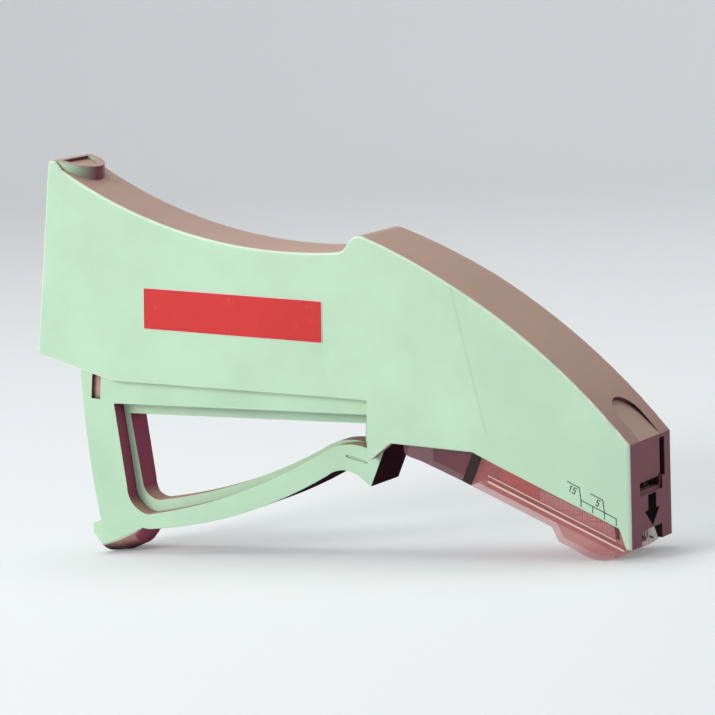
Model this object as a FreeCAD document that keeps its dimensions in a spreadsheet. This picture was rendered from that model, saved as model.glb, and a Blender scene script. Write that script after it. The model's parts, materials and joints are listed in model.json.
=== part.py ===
"""Single-use skin stapler: a hand-held lever tool that bends wire staples round an anvil.

Millimetres. Everything is drawn in the tool's own frame: the origin is the trigger's
pivot on the middle plane, X runs forward to the nose, Z up to the saddle of the handle,
and Y from the near shell to the far one. Every piece then gets the same placement,
which stands the tool on its heel and its nose.
"""
import FreeCAD, Part
import Sketcher
import math
import os

# Driving sizes. A "reach" is measured backwards from the pivot, a "drop" downwards.
SIZES = {
    "wall": 1.7,
    "side_gap": 0.35,
    "seat_gap": 0.05,
    "pin_play": 0.05,
    "edge_round": 0.75,
    "nose_round_height": 19.0,
    "parting": 4.8,
    "handle_half": 8.7,
    "nose_half": 11.2,
    "flare_reach": 10.0,
    "crease_x": 27.6,
    "crease_lean": 15.6,
    "horn_reach": 85.3,
    "horn_height": 55.4,
    "horn_length": 1.9,
    "horn_boss_inset": 0.9,
    "horn_boss_depth": 7.0,
    "horn_tilt": 13.0,
    "horn_hollow_half": 5.4,
    "horn_hollow_rim": 0.3,
    "horn_hollow_depth": 0.7,
    "saddle_radius": 118.0,
    "saddle_low_reach": 24.0,
    "saddle_low_height": 38.3,
    "saddle_rear_reach": 81.6,
    "saddle_front_reach": 9.2,
    "crest_reach": 6.2,
    "crest_round": 3.5,
    "nose_radius": 155.0,
    "nose_centre_reach": 51.5,
    "nose_centre_drop": 104.5,
    "heel_corner_reach": 88.6,
    "heel_corner_height": 10.6,
    "knee_reach": 69.5,
    "knee_height": 5.9,
    "underside_height": 6.6,
    "ear_reach": 3.1,
    "ear_drop": 6.6,
    "ear_front": 2.9,
    "skirt_drop": 2.4,
    "skirt_knee_x": 23.6,
    "skirt_front_x": 58.8,
    "skirt_front_drop": 16.0,
    "front_x": 60.9,
    "front_lean": 0.8,
    "front_wall": 2.0,
    "leg_drop": 20.6,
    "leg_foot": 1.1,
    "window_half": 5.25,
    "window_height": 2.0,
    "window_drop": 8.0,
    "window_lip": 0.7,
    "notch_half": 5.5,
    "notch_drop": 17.4,
    "groove_width": 2.6,
    "groove_depth": 1.2,
    "dimple_half": 5.5,
    "dimple_length": 8.4,
    "dimple_lean": 4.5,
    "groove_lip": 0.8,
    "slot_reach": 79.5,
    "post_radius": 2.5,
    "peg_radius": 1.2,
    "peg_length": 5.0,
    "pin_radius": 1.5,
    "pin_seat": 1.5,
    "trigger_turn": 11.5,
    "trigger_rear_reach": 78.3,
    "rear_bar_top": 20.5,
    "rear_bar_depth": 8.8,
    "rear_bar_radius": 220.0,
    "heel_reach": 73.2,
    "heel_drop": 27.2,
    "heel_tail": 2.2,
    "heel_thickness": 5.4,
    "heel_crown": 2.2,
    "lower_bar_reach": 60.4,
    "lower_bar_drop": 28.1,
    "lower_bar_radius": 115.0,
    "throat_reach": 14.4,
    "throat_drop": 11.7,
    "throat_radius": 7.0,
    "toe_reach": 3.3,
    "toe_drop": 13.1,
    "top_bar_height": 8.5,
    "loop_front_reach": 4.2,
    "loop_front_drop": 4.6,
    "loop_top_rear": 0.3,
    "loop_top_front": 2.9,
    "loop_corner_reach": 66.2,
    "loop_corner_drop": 18.6,
    "loop_floor_reach": 60.6,
    "loop_floor_drop": 24.7,
    "loop_floor_radius": 135.0,
    "loop_throat_reach": 14.6,
    "loop_throat_drop": 5.9,
    "rib_half": 2.55,
    "rib_ledge": 2.7,
    "rib_rear_ledge": 1.9,
    "guide_inset": 4.0,
    "guide_low": 1.7,
    "guide_nub": 0.8,
    "guide_play": 0.35,
    "guide_depth": 1.0,
    "mark_rear_reach": 9.5,
    "mark_front_reach": 4.2,
    "mark_drop": 6.5,
    "mark_fall": 1.0,
    "mark_width": 0.5,
    "mark_depth": 0.3,
    "arm_half": 3.0,
    "arm_height": 12.5,
    "arm_clearance": 6.5,
    "arm_end_x": 54.0,
    "arm_end_height": 3.2,
    "arm_end_radius": 2.1,
    "drive_pin_radius": 1.2,
    "track_angle": 20.8,
    "staple_count": 35.0,
    "staple_pitch": 0.6,
    "staple_wire": 0.54,
    "staple_half": 6.0,
    "staple_leg": 3.5,
    "crown_drop": 17.6,
    "blade_thickness": 0.5,
    "blade_gap": 0.43,
    "blade_rest": 10.2,
    "blade_top": 1.0,
    "blade_fork": 3.6,
    "block_length": 6.4,
    "block_drop": 3.0,
    "block_height": 5.6,
    "stake_radius": 1.0,
    "rail_gap": 0.13,
    "rail_half": 3.1,
    "rail_thickness": 0.9,
    "rail_rear_x": 24.3,
    "cover_wall": 1.0,
    "cover_side_gap": 0.9,
    "cover_depth": 6.6,
    "cover_rise": 2.0,
    "belly_rear_x": 41.4,
    "belly_depth": 3.0,
    "belly_low_x": 50.2,
    "belly_low_drop": 23.7,
    "belly_radius": 10.0,
    "nose_tip_x": 59.8,
    "nose_tip_drop": 21.4,
    "exit_length": 4.6,
    "collar_x": 19.9,
    "collar_drop": 9.6,
    "collar_width": 2.2,
    "collar_height": 10.9,
    "collar_proud": 0.1,
    "tail_x": 5.4,
    "tail_drop": 5.2,
    "tail_top_drop": 1.2,
    "tail_shoulder_x": 9.9,
    "tail_shoulder_drop": 6.1,
    "pusher_length": 8.6,
    "feed_height": 1.1,
    "feed_radius": 1.3,
    "feed_wire": 0.35,
    "feed_turns": 11.0,
    "feed_rear_x": 11.2,
    "rod_radius": 0.6,
    "rod_front_x": 50.2,
    "rod_play": 0.08,
    "plug_length": 2.4,
    "plug_half": 3.0,
    "return_reach": 40.0,
    "return_radius": 3.7,
    "return_wire": 0.7,
    "return_turns": 7.0,
    "return_seat_height": 35.0,
    "return_spigot": 2.4,
    "track_gap": 0.3,
    "track_chamfer": 0.9,
    "ejector_length": 3.8,
    "ejector_half": 1.4,
    "ejector_thickness": 0.3,
}

doc = FreeCAD.newDocument("SkinStapler")
sheet = doc.addObject("Spreadsheet::Sheet", "Sizes")


class Size:
    """A length with the formula that ties it to the sheet, so that sums stay tied too."""

    def __init__(self, value, formula):
        self.value = float(value)
        self.formula = formula

    def __add__(self, other):
        other = as_size(other)
        return Size(self.value + other.value, f"({self.formula} + {other.formula})")

    def __radd__(self, other):
        return as_size(other) + self

    def __sub__(self, other):
        other = as_size(other)
        return Size(self.value - other.value, f"({self.formula} - {other.formula})")

    def __rsub__(self, other):
        return as_size(other) - self

    def __mul__(self, other):
        other = as_size(other)
        return Size(self.value * other.value, f"({self.formula} * {other.formula})")

    def __rmul__(self, other):
        return as_size(other) * self

    def __truediv__(self, other):
        other = as_size(other)
        return Size(self.value / other.value, f"({self.formula} / {other.formula})")

    def __neg__(self):
        return Size(-self.value, f"(0 - {self.formula})")


def as_size(number):
    """A plain number as a Size."""
    return number if isinstance(number, Size) else Size(number, f"({number})")


def root(size):
    """Square root."""
    return Size(math.sqrt(size.value), f"sqrt({size.formula})")


def sine(degrees):
    """Sine of an angle in degrees."""
    return Size(math.sin(math.radians(degrees.value)), f"sin({degrees.formula})")


def cosine(degrees):
    """Cosine of an angle in degrees."""
    return Size(math.cos(math.radians(degrees.value)), f"cos({degrees.formula})")


def write_sheet():
    """Fill the sheet, one named number a row, and give the names back as Sizes."""
    named = {}
    for row, (name, number) in enumerate(SIZES.items(), start=1):
        sheet.set(f"A{row}", name)
        sheet.set(f"B{row}", str(number))
        sheet.setAlias(f"B{row}", name)
        named[name] = Size(number, f"Sizes.{name}")
    doc.recompute()
    return named


S = write_sheet()


def bind(thing, path, size):
    """Tie one property of a document object to its formula."""
    size = as_size(size)
    thing.setExpression(path, size.formula)


def new_body(label):
    """An empty body for one piece."""
    body = doc.addObject("PartDesign::Body", label)
    body.Label = label
    return body


def new_sketch(body, name, role):
    """An empty sketch on one of the body's own origin planes."""
    sketch = body.newObject("Sketcher::SketchObject", name)
    plane = next(f for f in body.Origin.OriginFeatures if f.Role == role)
    sketch.AttachmentSupport = [(plane, "")]
    sketch.MapMode = "FlatFace"
    return sketch


def place_point(sketch, shape, end, x, y):
    """Hold one point of the sketch at its two formulas."""
    for kind, size, axis in (("DistanceX", x, -2), ("DistanceY", y, -1)):
        if size.formula == "(0)":
            sketch.addConstraint(Sketcher.Constraint("PointOnObject", shape, end, axis))
        else:
            index = sketch.addConstraint(Sketcher.Constraint(kind, -1, 1, shape, end, size.value))
            sketch.setExpression(f"Constraints[{index}]", size.formula)


def arc_between(start, finish, bend):
    """The lesser arc from one point to the next; a positive bend turns left."""
    radius = abs(bend)
    along = FreeCAD.Vector(finish[0] - start[0], finish[1] - start[1], 0)
    middle = FreeCAD.Vector((start[0] + finish[0]) / 2, (start[1] + finish[1]) / 2, 0)
    left = FreeCAD.Vector(-along.y, along.x, 0).normalize()
    rise = math.sqrt(max(radius ** 2 - (along.Length / 2) ** 2, 0.0))
    centre = middle + left * math.copysign(rise, bend)
    first, last = (start, finish) if bend > 0 else (finish, start)
    turn_from = math.atan2(first[1] - centre.y, first[0] - centre.x)
    turn_to = math.atan2(last[1] - centre.y, last[0] - centre.x)
    circle = Part.Circle(centre, FreeCAD.Vector(0, 0, 1), radius)
    return Part.ArcOfCircle(circle, turn_from, turn_to)


def outline(body, name, role, corners):
    """A closed sketch. A corner is (x, y), or (x, y, bend) where an arc leads to the next."""
    sketch = new_sketch(body, name, role)
    corners = [tuple(as_size(value) for value in corner) for corner in corners]
    ends = []
    for here, after in zip(corners, corners[1:] + corners[:1]):
        start, finish = (here[0].value, here[1].value), (after[0].value, after[1].value)
        if len(here) == 3:
            sketch.addGeometry(arc_between(start, finish, here[2].value), False)
            ends.append((1, 2) if here[2].value > 0 else (2, 1))
        else:
            line = Part.LineSegment(FreeCAD.Vector(*start, 0), FreeCAD.Vector(*finish, 0))
            sketch.addGeometry(line, False)
            ends.append((1, 2))
    count = len(corners)
    for i in range(count):
        after = (i + 1) % count
        sketch.addConstraint(Sketcher.Constraint("Coincident", i, ends[i][1], after, ends[after][0]))
    for i, corner in enumerate(corners):
        place_point(sketch, i, ends[i][0], corner[0], corner[1])
        if len(corner) == 3:
            radius = corner[2] if corner[2].value > 0 else -corner[2]
            index = sketch.addConstraint(Sketcher.Constraint("Radius", i, radius.value))
            sketch.setExpression(f"Constraints[{index}]", radius.formula)
    return sketch


def disc(body, name, role, x, y, radius):
    """A sketch of one circle."""
    sketch = new_sketch(body, name, role)
    x, y, radius = as_size(x), as_size(y), as_size(radius)
    circle = Part.Circle(FreeCAD.Vector(x.value, y.value, 0), FreeCAD.Vector(0, 0, 1), radius.value)
    sketch.addGeometry(circle, False)
    place_point(sketch, 0, 3, x, y)
    index = sketch.addConstraint(Sketcher.Constraint("Radius", 0, radius.value))
    sketch.setExpression(f"Constraints[{index}]", radius.formula)
    return sketch


def pad(body, sketch, low, high):
    """Fill the sketch from low to high along the axis that its plane faces."""
    low, high = as_size(low), as_size(high)
    flipped = body_plane(sketch) == "XZ_Plane"
    bind(sketch, "AttachmentOffset.Base.z", -high if flipped else low)
    feature = body.newObject("PartDesign::Pad", sketch.Label + "Pad")
    feature.Profile = sketch
    bind(feature, "Length", high - low)
    return settle(body, feature, grows=True)


def pocket(body, sketch, low, high):
    """Cut the sketch out from low to high along the axis that its plane faces."""
    low, high = as_size(low), as_size(high)
    flipped = body_plane(sketch) == "XZ_Plane"
    bind(sketch, "AttachmentOffset.Base.z", -low if flipped else high)
    feature = body.newObject("PartDesign::Pocket", sketch.Label + "Pocket")
    feature.Profile = sketch
    bind(feature, "Length", high - low)
    return settle(body, feature, grows=False)


def body_plane(sketch):
    """The role of the origin plane that a sketch lies on."""
    return sketch.AttachmentSupport[0][0].Role


def settle(body, feature, grows):
    """Recompute, and stop if the feature failed or left the volume as it was."""
    before = body.Shape.Volume if not body.Shape.isNull() else 0.0
    doc.recompute()
    if "Invalid" in feature.State or "Error" in feature.State:
        raise RuntimeError(f"{feature.Label} failed: {feature.getStatusString()}")
    change = body.Shape.Volume - before
    if (change <= 0.0) if grows else (change >= 0.0):
        raise RuntimeError(f"{feature.Label} changed the volume by {change:.3f}")
    return feature


def edges_near(shape, points, along, reach=0.6):
    """Names of the straight edges along one axis that pass close to any of the points."""
    found = []
    for number, edge in enumerate(shape.Edges, start=1):
        if edge.Curve.TypeId != "Part::GeomLine":
            continue
        if abs(edge.tangentAt(edge.FirstParameter).dot(along)) < 0.99:
            continue
        middle = edge.CenterOfMass
        for point in points:
            away = middle - point
            if (away - along * away.dot(along)).Length < reach:
                found.append(f"Edge{number}")
                break
    return found


def fillet(body, edges, radius):
    """Round the named edges of the body as it is now."""
    feature = body.newObject("PartDesign::Fillet", body.Label + "Round")
    feature.Base = (feature.BaseFeature, edges)
    bind(feature, "Radius", radius)
    doc.recompute()
    if "Invalid" in feature.State or "Error" in feature.State:
        raise RuntimeError(f"{feature.Label} failed: {feature.getStatusString()}")
    return feature


# What a half circle's radius needs over half its chord
ARC_SLACK = 0.001

# How far a sloping recess is cut upwards: past the surface over it
SINK_HEIGHT = 6

# Straight runs in a turn of a spring's wire, and sides of the wire
COIL_STEPS = 8
COIL_SIDES = 4


# Lines that several pieces share

def saddle_height(x, inset=0):
    """Height of the saddle's arc at x, or of a line that far inside the wall."""
    centre = S["saddle_low_height"] + S["saddle_radius"]
    radius = S["saddle_radius"] + inset
    away = x + S["saddle_low_reach"]
    return centre - root(radius * radius - away * away)


def nose_height(x, inset=0):
    """Height of the nose's arc at x, or of a line that far inside the wall."""
    radius = S["nose_radius"] - inset
    away = x + S["nose_centre_reach"]
    return root(radius * radius - away * away) - S["nose_centre_drop"]


def crown_height(x, above=0):
    """Height of the line on which the staples' crowns lie, or of one parallel to it."""
    slope = sine(S["track_angle"]) / cosine(S["track_angle"])
    return (staple_x - x) * slope - S["crown_drop"] + above


def square_to_track(x, above):
    """A point of the plane that crosses the feed rod's line squarely at x, by its height there."""
    sin_a, cos_a = sine(S["track_angle"]), cosine(S["track_angle"])
    along = (above - S["feed_height"]) * sin_a * cos_a
    return x + along, crown_height(x + along, above)


def skirt_height(x, above=0):
    """Height of the shells' lower edge along the magazine, or of one parallel to it."""
    run = S["skirt_front_x"] - S["skirt_knee_x"]
    slope = (S["skirt_front_drop"] - S["skirt_drop"]) / run
    return (S["skirt_knee_x"] - x) * slope - S["skirt_drop"] + above


cavity_half = S["handle_half"] - S["wall"]
trigger_half = cavity_half - S["side_gap"]
inner_front_x = S["front_x"] - S["front_wall"]
blade_front_x = inner_front_x - S["blade_gap"]
blade_rear_x = blade_front_x - S["blade_thickness"]
staple_x = (blade_front_x + blade_rear_x) / 2
cover_half = S["staple_half"] + S["cover_side_gap"] + S["cover_wall"]
channel_half = cover_half + S["collar_proud"] + S["seat_gap"]
stack_rear_x = staple_x + S["staple_wire"] / 2 - S["staple_count"] * S["staple_pitch"]
guide_reach = S["trigger_rear_reach"] - S["guide_inset"]
guide_angle = S["guide_low"] + S["trigger_turn"]
pusher_rear_x = stack_rear_x - 0.04 - S["pusher_length"]
nub_reach = guide_reach * cosine(guide_angle)
nub_height = guide_reach * sine(guide_angle)
return_foot = S["top_bar_height"]
rail_top = -(S["staple_wire"] + S["rail_gap"])
track_base = -(S["staple_leg"] + S["track_gap"])
track_front_x = blade_rear_x - 0.6


def crest_corners():
    """The two corners of the step between the saddle's arc and the nose's."""
    return [
        (-S["saddle_front_reach"], saddle_height(-S["saddle_front_reach"])),
        (-S["crest_reach"], nose_height(-S["crest_reach"]), -S["nose_radius"]),
    ]


def casing_corners():
    """Side outline of the shells, from the horn forwards over the saddle and round."""
    skirt_front = S["skirt_front_x"]
    return [
        (-S["horn_reach"], S["horn_height"]),
        (-(S["horn_reach"] - S["horn_length"]), S["horn_height"]),
        (-S["saddle_rear_reach"], saddle_height(-S["saddle_rear_reach"]), S["saddle_radius"]),
        *crest_corners(),
        (S["front_x"], nose_height(S["front_x"])),
        (S["front_x"] + S["front_lean"], -S["leg_drop"]),
        (S["front_x"] + S["front_lean"] - S["leg_foot"], -S["leg_drop"]),
        (skirt_front, skirt_height(skirt_front)),
        (S["skirt_knee_x"], -S["skirt_drop"]),
        (S["ear_front"], -S["skirt_drop"]),
        (-(S["ear_reach"] - 1), -S["ear_drop"]),
        (-S["ear_reach"], 0.6 - S["ear_drop"]),
        (-S["ear_reach"], S["underside_height"]),
        (-S["knee_reach"], S["knee_height"]),
        (-S["heel_corner_reach"], S["heel_corner_height"]),
    ]


def cavity_corners():
    """Side outline of the hollow, which is open below from the trigger's slot to the nose."""
    rear = -(S["horn_reach"] - S["wall"] - 0.2)
    below = -(S["leg_drop"] + 20)
    slope = (S["heel_corner_height"] - S["knee_height"]) / (S["heel_corner_reach"] - S["knee_reach"])
    floor = S["heel_corner_height"] + S["wall"] + 0.1
    slot = -S["slot_reach"]
    corner = -(S["heel_corner_reach"] - S["wall"])
    return [
        (rear, saddle_height(rear, S["wall"]), S["saddle_radius"] + S["wall"]),
        (-S["saddle_front_reach"], saddle_height(-S["saddle_front_reach"], S["wall"])),
        (-(S["crest_reach"] - S["wall"]), nose_height(-(S["crest_reach"] - S["wall"]), S["wall"]),
         S["wall"] - S["nose_radius"]),
        (inner_front_x, nose_height(inner_front_x, S["wall"])),
        (inner_front_x, below),
        (slot, below),
        (slot, floor - (slot - corner) * slope),
        (corner, floor),
    ]


def flare_cut(body, side):
    """Cut one side back to the handle's width, with the slanted crease where it opens out."""
    far = 200
    corners = [
        (-far, S["handle_half"] * side),
        (-S["flare_reach"], S["handle_half"] * side),
        (S["crease_x"], S["nose_half"] * side),
        (far, S["nose_half"] * side),
        (far, 60 * side),
        (-far, 60 * side),
    ]
    sketch = outline(body, body.Label + "Flare", "XY_Plane", corners)
    feature = body.newObject("PartDesign::Pocket", sketch.Label + "Pocket")
    feature.Profile = sketch
    feature.SideType = "Symmetric"
    feature.Length = 2 * far
    feature.UseCustomVector = True
    bind(feature, "Direction.x", sine(S["crease_lean"]))
    feature.Direction = FreeCAD.Vector(math.sin(math.radians(SIZES["crease_lean"])), 0,
                                       -math.cos(math.radians(SIZES["crease_lean"])))
    bind(feature, "Direction.z", -cosine(S["crease_lean"]))
    settle(body, feature, grows=False)


def casing_half(label, side):
    """One moulded shell; side is -1 for the deep near one and 1 for the shallow far one."""
    body = new_body(label)
    outer = S["nose_half"] + 1
    low, high = (-outer, S["parting"]) if side < 0 else (S["parting"], outer)
    pad(body, outline(body, label + "Side", "XZ_Plane", casing_corners()), low, high)
    flare_cut(body, side)
    round_casing(body, side)
    raise_horn(body, side)
    inner_low, inner_high = (-cavity_half, S["parting"]) if side < 0 else (S["parting"], cavity_half)
    pocket(body, outline(body, label + "Hollow", "XZ_Plane", cavity_corners()), inner_low, inner_high)
    core_nose(body, side)
    open_front(body, side)
    press_dimple(body)
    pivot_seat(body, side)
    for number, (x, z) in enumerate(post_places(), start=1):
        join_post(body, side, number, x, z)
    guide_nub(body, side)
    if side < 0:
        spring_seat(body)
    return body


def round_casing(body, side):
    """Soften the crest, the outer edge that runs along the top, and two rear corners."""
    across = FreeCAD.Vector(0, 1, 0)
    crease = FreeCAD.Vector(sine(S["crease_lean"]).value, 0, -cosine(S["crease_lean"]).value)
    spots = [FreeCAD.Vector(x.value, 0, z.value) for x, z, *bend in crest_corners()]
    fillet(body, edges_near(body.Shape, spots, across), S["crest_round"])
    names = []
    for number, edge in enumerate(body.Shape.Edges, start=1):
        middle = edge.valueAt((edge.FirstParameter + edge.LastParameter) / 2)
        tangent = edge.tangentAt(edge.FirstParameter)
        outside = middle.y * side > S["handle_half"].value - 0.01
        at_end = middle.x < -S["horn_reach"].value or middle.x > S["front_x"].value
        upper = middle.z > S["nose_round_height"].value
        if outside and (upper or at_end) and abs(tangent.dot(crease)) < 0.999 and abs(tangent.y) < 0.9:
            names.append(f"Edge{number}")
    fillet(body, names, S["edge_round"])
    spots = [FreeCAD.Vector(-S["horn_reach"].value, 0, S["horn_height"].value),
             FreeCAD.Vector(-S["heel_corner_reach"].value, 0, S["heel_corner_height"].value)]
    fillet(body, edges_near(body.Shape, spots, across), S["edge_round"])


def raise_horn(body, side):
    """Half-round plateau on the horn's top, with a shallow hollow in it."""
    rear = S["horn_boss_inset"] - S["horn_reach"]
    radius = S["handle_half"] - S["horn_boss_inset"]
    split = S["parting"]
    at_split = rear + root(radius * radius - split * split)
    if side < 0:
        corners = [(rear, -radius, radius), (at_split, split), (rear, split)]
    else:
        corners = [(at_split, split, radius), (rear, radius), (rear, split)]
    sketch = outline(body, body.Label + "HornBoss", "XY_Plane", corners)
    pad(body, sketch, S["horn_height"] - S["horn_boss_depth"], S["horn_height"])
    tilt = S["horn_tilt"]
    edge, far = S["horn_length"] - S["horn_reach"], -S["saddle_low_reach"]
    drop = (far - edge) * sine(tilt) / cosine(tilt)
    above = [(edge, S["horn_height"]), (far, S["horn_height"] - drop), (far, S["horn_height"] + 1),
             (edge, S["horn_height"] + 1)]
    low, high = (-S["handle_half"], split) if side < 0 else (split, S["handle_half"])
    pocket(body, outline(body, body.Label + "HornTilt", "XZ_Plane", above), low, high)
    half = S["horn_hollow_half"]
    dish = [(S["horn_hollow_rim"], -half, half + ARC_SLACK), (S["horn_hollow_rim"], half)]
    sketch = outline(body, body.Label + "HornHollow", "XY_Plane", dish)
    lay_sloping(sketch, tilt, edge - S["horn_hollow_depth"] * sine(tilt),
                S["horn_height"] - S["horn_hollow_depth"] * cosine(tilt))
    sink(body, sketch)


def lay_sloping(sketch, angle, x, z):
    """Put a sketch's plane at a point of the middle plane, sloping down forwards by the angle."""
    sketch.AttachmentOffset = FreeCAD.Placement(
        FreeCAD.Vector(), FreeCAD.Rotation(FreeCAD.Vector(0, 1, 0), angle.value))
    bind(sketch, "AttachmentOffset.Rotation.Angle", angle)
    bind(sketch, "AttachmentOffset.Base.x", x)
    bind(sketch, "AttachmentOffset.Base.z", z)


def sink(body, sketch):
    """Cut away all that lies over a sketch on a sloping plane."""
    feature = body.newObject("PartDesign::Pocket", sketch.Label + "Pocket")
    feature.Profile = sketch
    feature.Reversed = True
    feature.Length = SINK_HEIGHT
    settle(body, feature, grows=False)


def core_nose(body, side):
    """Thin the nose's side wall, and open the channel that holds the magazine."""
    depth = S["nose_half"] - S["wall"]
    low, high = (-depth, -cavity_half) if side < 0 else (cavity_half, depth)
    rear, front = S["crease_x"] - 2, inner_front_x - S["block_length"] - 1.5
    corners = [
        (rear, nose_height(rear, S["wall"]), -(S["nose_radius"] - S["wall"])),
        (front, nose_height(front, S["wall"])),
        (front, -(S["leg_drop"] + 20)),
        (rear, -(S["leg_drop"] + 20)),
    ]
    pocket(body, outline(body, body.Label + "Core", "XZ_Plane", corners), low, high)
    low, high = (-channel_half, -cavity_half) if side < 0 else (cavity_half, channel_half)
    collar_top_x = S["collar_x"] + S["collar_height"] * sine(S["track_angle"]) + S["collar_width"]
    corners = [
        (S["tail_x"] - 0.5, 1.6),
        (collar_top_x + 0.3, 1.6),
        (inner_front_x, skirt_height(inner_front_x, S["cover_rise"] + 0.4)),
        (inner_front_x, -(S["leg_drop"] + 20)),
        (S["tail_x"] - 0.5, -(S["leg_drop"] + 20)),
    ]
    pocket(body, outline(body, body.Label + "Channel", "XZ_Plane", corners), low, high)


def rectangle(x0, x1, y0, y1):
    """Four corners."""
    return [(x0, y0), (x1, y0), (x1, y1), (x0, y1)]


def open_front(body, side):
    """Window with its lip, the staple's exit notch, and the groove beside the parting."""
    outer_x = S["front_x"] + S["front_lean"] + 1
    top, bottom = S["window_height"] / 2 - S["window_drop"], -S["window_height"] / 2 - S["window_drop"]
    half, lip = S["window_half"], S["window_lip"]
    hole = rectangle(-half, half, bottom, top)
    pocket(body, outline(body, body.Label + "Window", "YZ_Plane", hole), inner_front_x - 0.5, outer_x)
    frame = rectangle(-(half + lip), half + lip, bottom - lip, top + lip)
    pocket(body, outline(body, body.Label + "Lip", "YZ_Plane", frame), S["front_x"] - 0.1, outer_x)
    notch = rectangle(-S["notch_half"], S["notch_half"], -(S["leg_drop"] + 1), -S["notch_drop"])
    pocket(body, outline(body, body.Label + "Notch", "YZ_Plane", notch), inner_front_x - 0.5, outer_x)
    if side > 0:
        groove_top = nose_height(S["front_x"]) - S["groove_lip"]
        groove = rectangle(S["parting"] - 1, S["parting"] + S["groove_width"], top, groove_top)
        start = S["front_x"] - S["groove_depth"]
        pocket(body, outline(body, body.Label + "Groove", "YZ_Plane", groove), start, outer_x)


def press_dimple(body):
    """Shallow finger recess on the sloping top of the nose, which runs out at its front edge."""
    front = S["front_x"]
    steep = (front + S["nose_centre_reach"] - S["dimple_length"] / 2) / S["nose_radius"]
    gentle = root(1 - steep * steep)
    half = S["dimple_half"]
    rear = half - S["dimple_length"] / gentle
    corners = [(2, -half), (2, half), (rear, half, half + ARC_SLACK), (rear, -half)]
    sketch = outline(body, body.Label + "Dimple", "XY_Plane", corners)
    lean = S["dimple_lean"]
    angle = Size(math.degrees(math.asin(steep.value)) - lean.value,
                 f"asin({steep.formula}) - {lean.formula} * 1 deg")
    lay_sloping(sketch, angle, front, nose_height(front))
    sink(body, sketch)


def pivot_seat(body, side):
    """Blind hole in the ear for the pivot pin."""
    low, high = (-(cavity_half + S["pin_seat"]), -cavity_half + 0.5) if side < 0 \
        else (cavity_half - 0.5, cavity_half + S["pin_seat"])
    hole = disc(body, body.Label + "PinSeat", "XZ_Plane", 0, 0, S["pin_radius"] + S["seat_gap"])
    pocket(body, hole, low, high)


def post_places():
    """Where the two shells are pegged together: clear of the trigger's sweep."""
    return [
        (-(S["horn_reach"] - S["wall"] - 3.2), S["horn_height"] - 9.5),
        (-(S["heel_corner_reach"] - S["wall"] - 3.2), S["heel_corner_height"] + 6.6),
        (-56, saddle_height(as_size(-56)) - 6.5),
        (-3.5, nose_height(as_size(-3.5)) - 11),
        (24, nose_height(as_size(24)) - 9),
    ]


def join_post(body, side, number, x, z):
    """A hollow post in the near shell, or the post with its peg in the far one."""
    name = f"{body.Label}Post{number}"
    root_depth = cavity_half + 0.6
    if side < 0:
        pad(body, disc(body, name, "XZ_Plane", x, z, S["post_radius"]), -root_depth, S["parting"])
        bore = disc(body, name + "Bore", "XZ_Plane", x, z, S["peg_radius"] + S["seat_gap"])
        pocket(body, bore, S["parting"] - S["peg_length"] - 0.5, S["parting"])
    else:
        pad(body, disc(body, name, "XZ_Plane", x, z, S["post_radius"]), S["parting"], root_depth)
        peg = disc(body, name + "Peg", "XZ_Plane", x, z, S["peg_radius"])
        pad(body, peg, S["parting"] - S["peg_length"], S["parting"] + 0.5)


def guide_nub(body, side):
    """Small nub that runs in the trigger's arc-shaped groove and stops it at both ends."""
    inner = trigger_half - S["guide_depth"] + 0.3
    low, high = (-(cavity_half + 0.4), -inner) if side < 0 else (inner, cavity_half + 0.4)
    pad(body, disc(body, body.Label + "Nub", "XZ_Plane", -nub_reach, nub_height, S["guide_nub"]), low, high)


def spring_seat(body):
    """Shelf under the saddle with a spigot that holds the return spring's upper end."""
    x, z = -S["return_reach"], S["return_seat_height"]
    reach = S["return_radius"] + S["return_wire"] + 0.6
    top = saddle_height(x, S["wall"]) + 0.8
    shelf = rectangle(x - reach, x + reach, z, top)
    pad(body, outline(body, body.Label + "Shelf", "XZ_Plane", shelf), -(cavity_half + 0.4), S["parting"])
    spigot = disc(body, body.Label + "Spigot", "XY_Plane", x, 0, S["return_radius"] - S["return_wire"] - 0.2)
    pad(body, spigot, z - S["return_spigot"], z + 0.5)


def pivot_pin():
    """Steel pin on which the trigger turns."""
    body = new_body("pivot_pin")
    reach = cavity_half + S["pin_seat"] - 0.1
    pad(body, disc(body, "PivotPin", "XZ_Plane", 0, 0, S["pin_radius"]), -reach, reach)
    return body


def trigger_corners():
    """Side outline of the trigger's rim: rear bar, lower bar, toe and hub."""
    rear = -S["trigger_rear_reach"]
    return [
        (rear, S["rear_bar_top"]),
        (S["rear_bar_depth"] + rear, S["rear_bar_top"]),
        (S["rear_bar_depth"] + rear, S["top_bar_height"]),
        (0, S["top_bar_height"]),
        (4.2, 5.5),
        (4.2, 0),
        (0.6, -2.9),
        (-S["toe_reach"], -S["toe_drop"]),
        (-(S["toe_reach"] + 2.6), 1.8 - S["toe_drop"], S["throat_radius"]),
        (-S["throat_reach"], -S["throat_drop"], -S["lower_bar_radius"]),
        (-S["lower_bar_reach"], -S["lower_bar_drop"]),
        (-S["heel_reach"], -S["heel_drop"], -S["rear_bar_radius"]),
        (rear, S["top_bar_height"]),
    ]


def loop_corners():
    """Opening of the full-width rim, on whose floor the thin rib stands."""
    rear = S["rear_bar_depth"] - S["trigger_rear_reach"]
    return [
        (rear, S["loop_top_rear"]),
        (-S["loop_corner_reach"], -S["loop_corner_drop"], 6.2),
        (-S["loop_floor_reach"], -S["loop_floor_drop"], S["loop_floor_radius"]),
        (-S["loop_throat_reach"], -S["loop_throat_drop"], -13),
        (-S["loop_front_reach"], -S["loop_front_drop"]),
        (-S["loop_front_reach"], S["loop_top_front"]),
    ]


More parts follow.
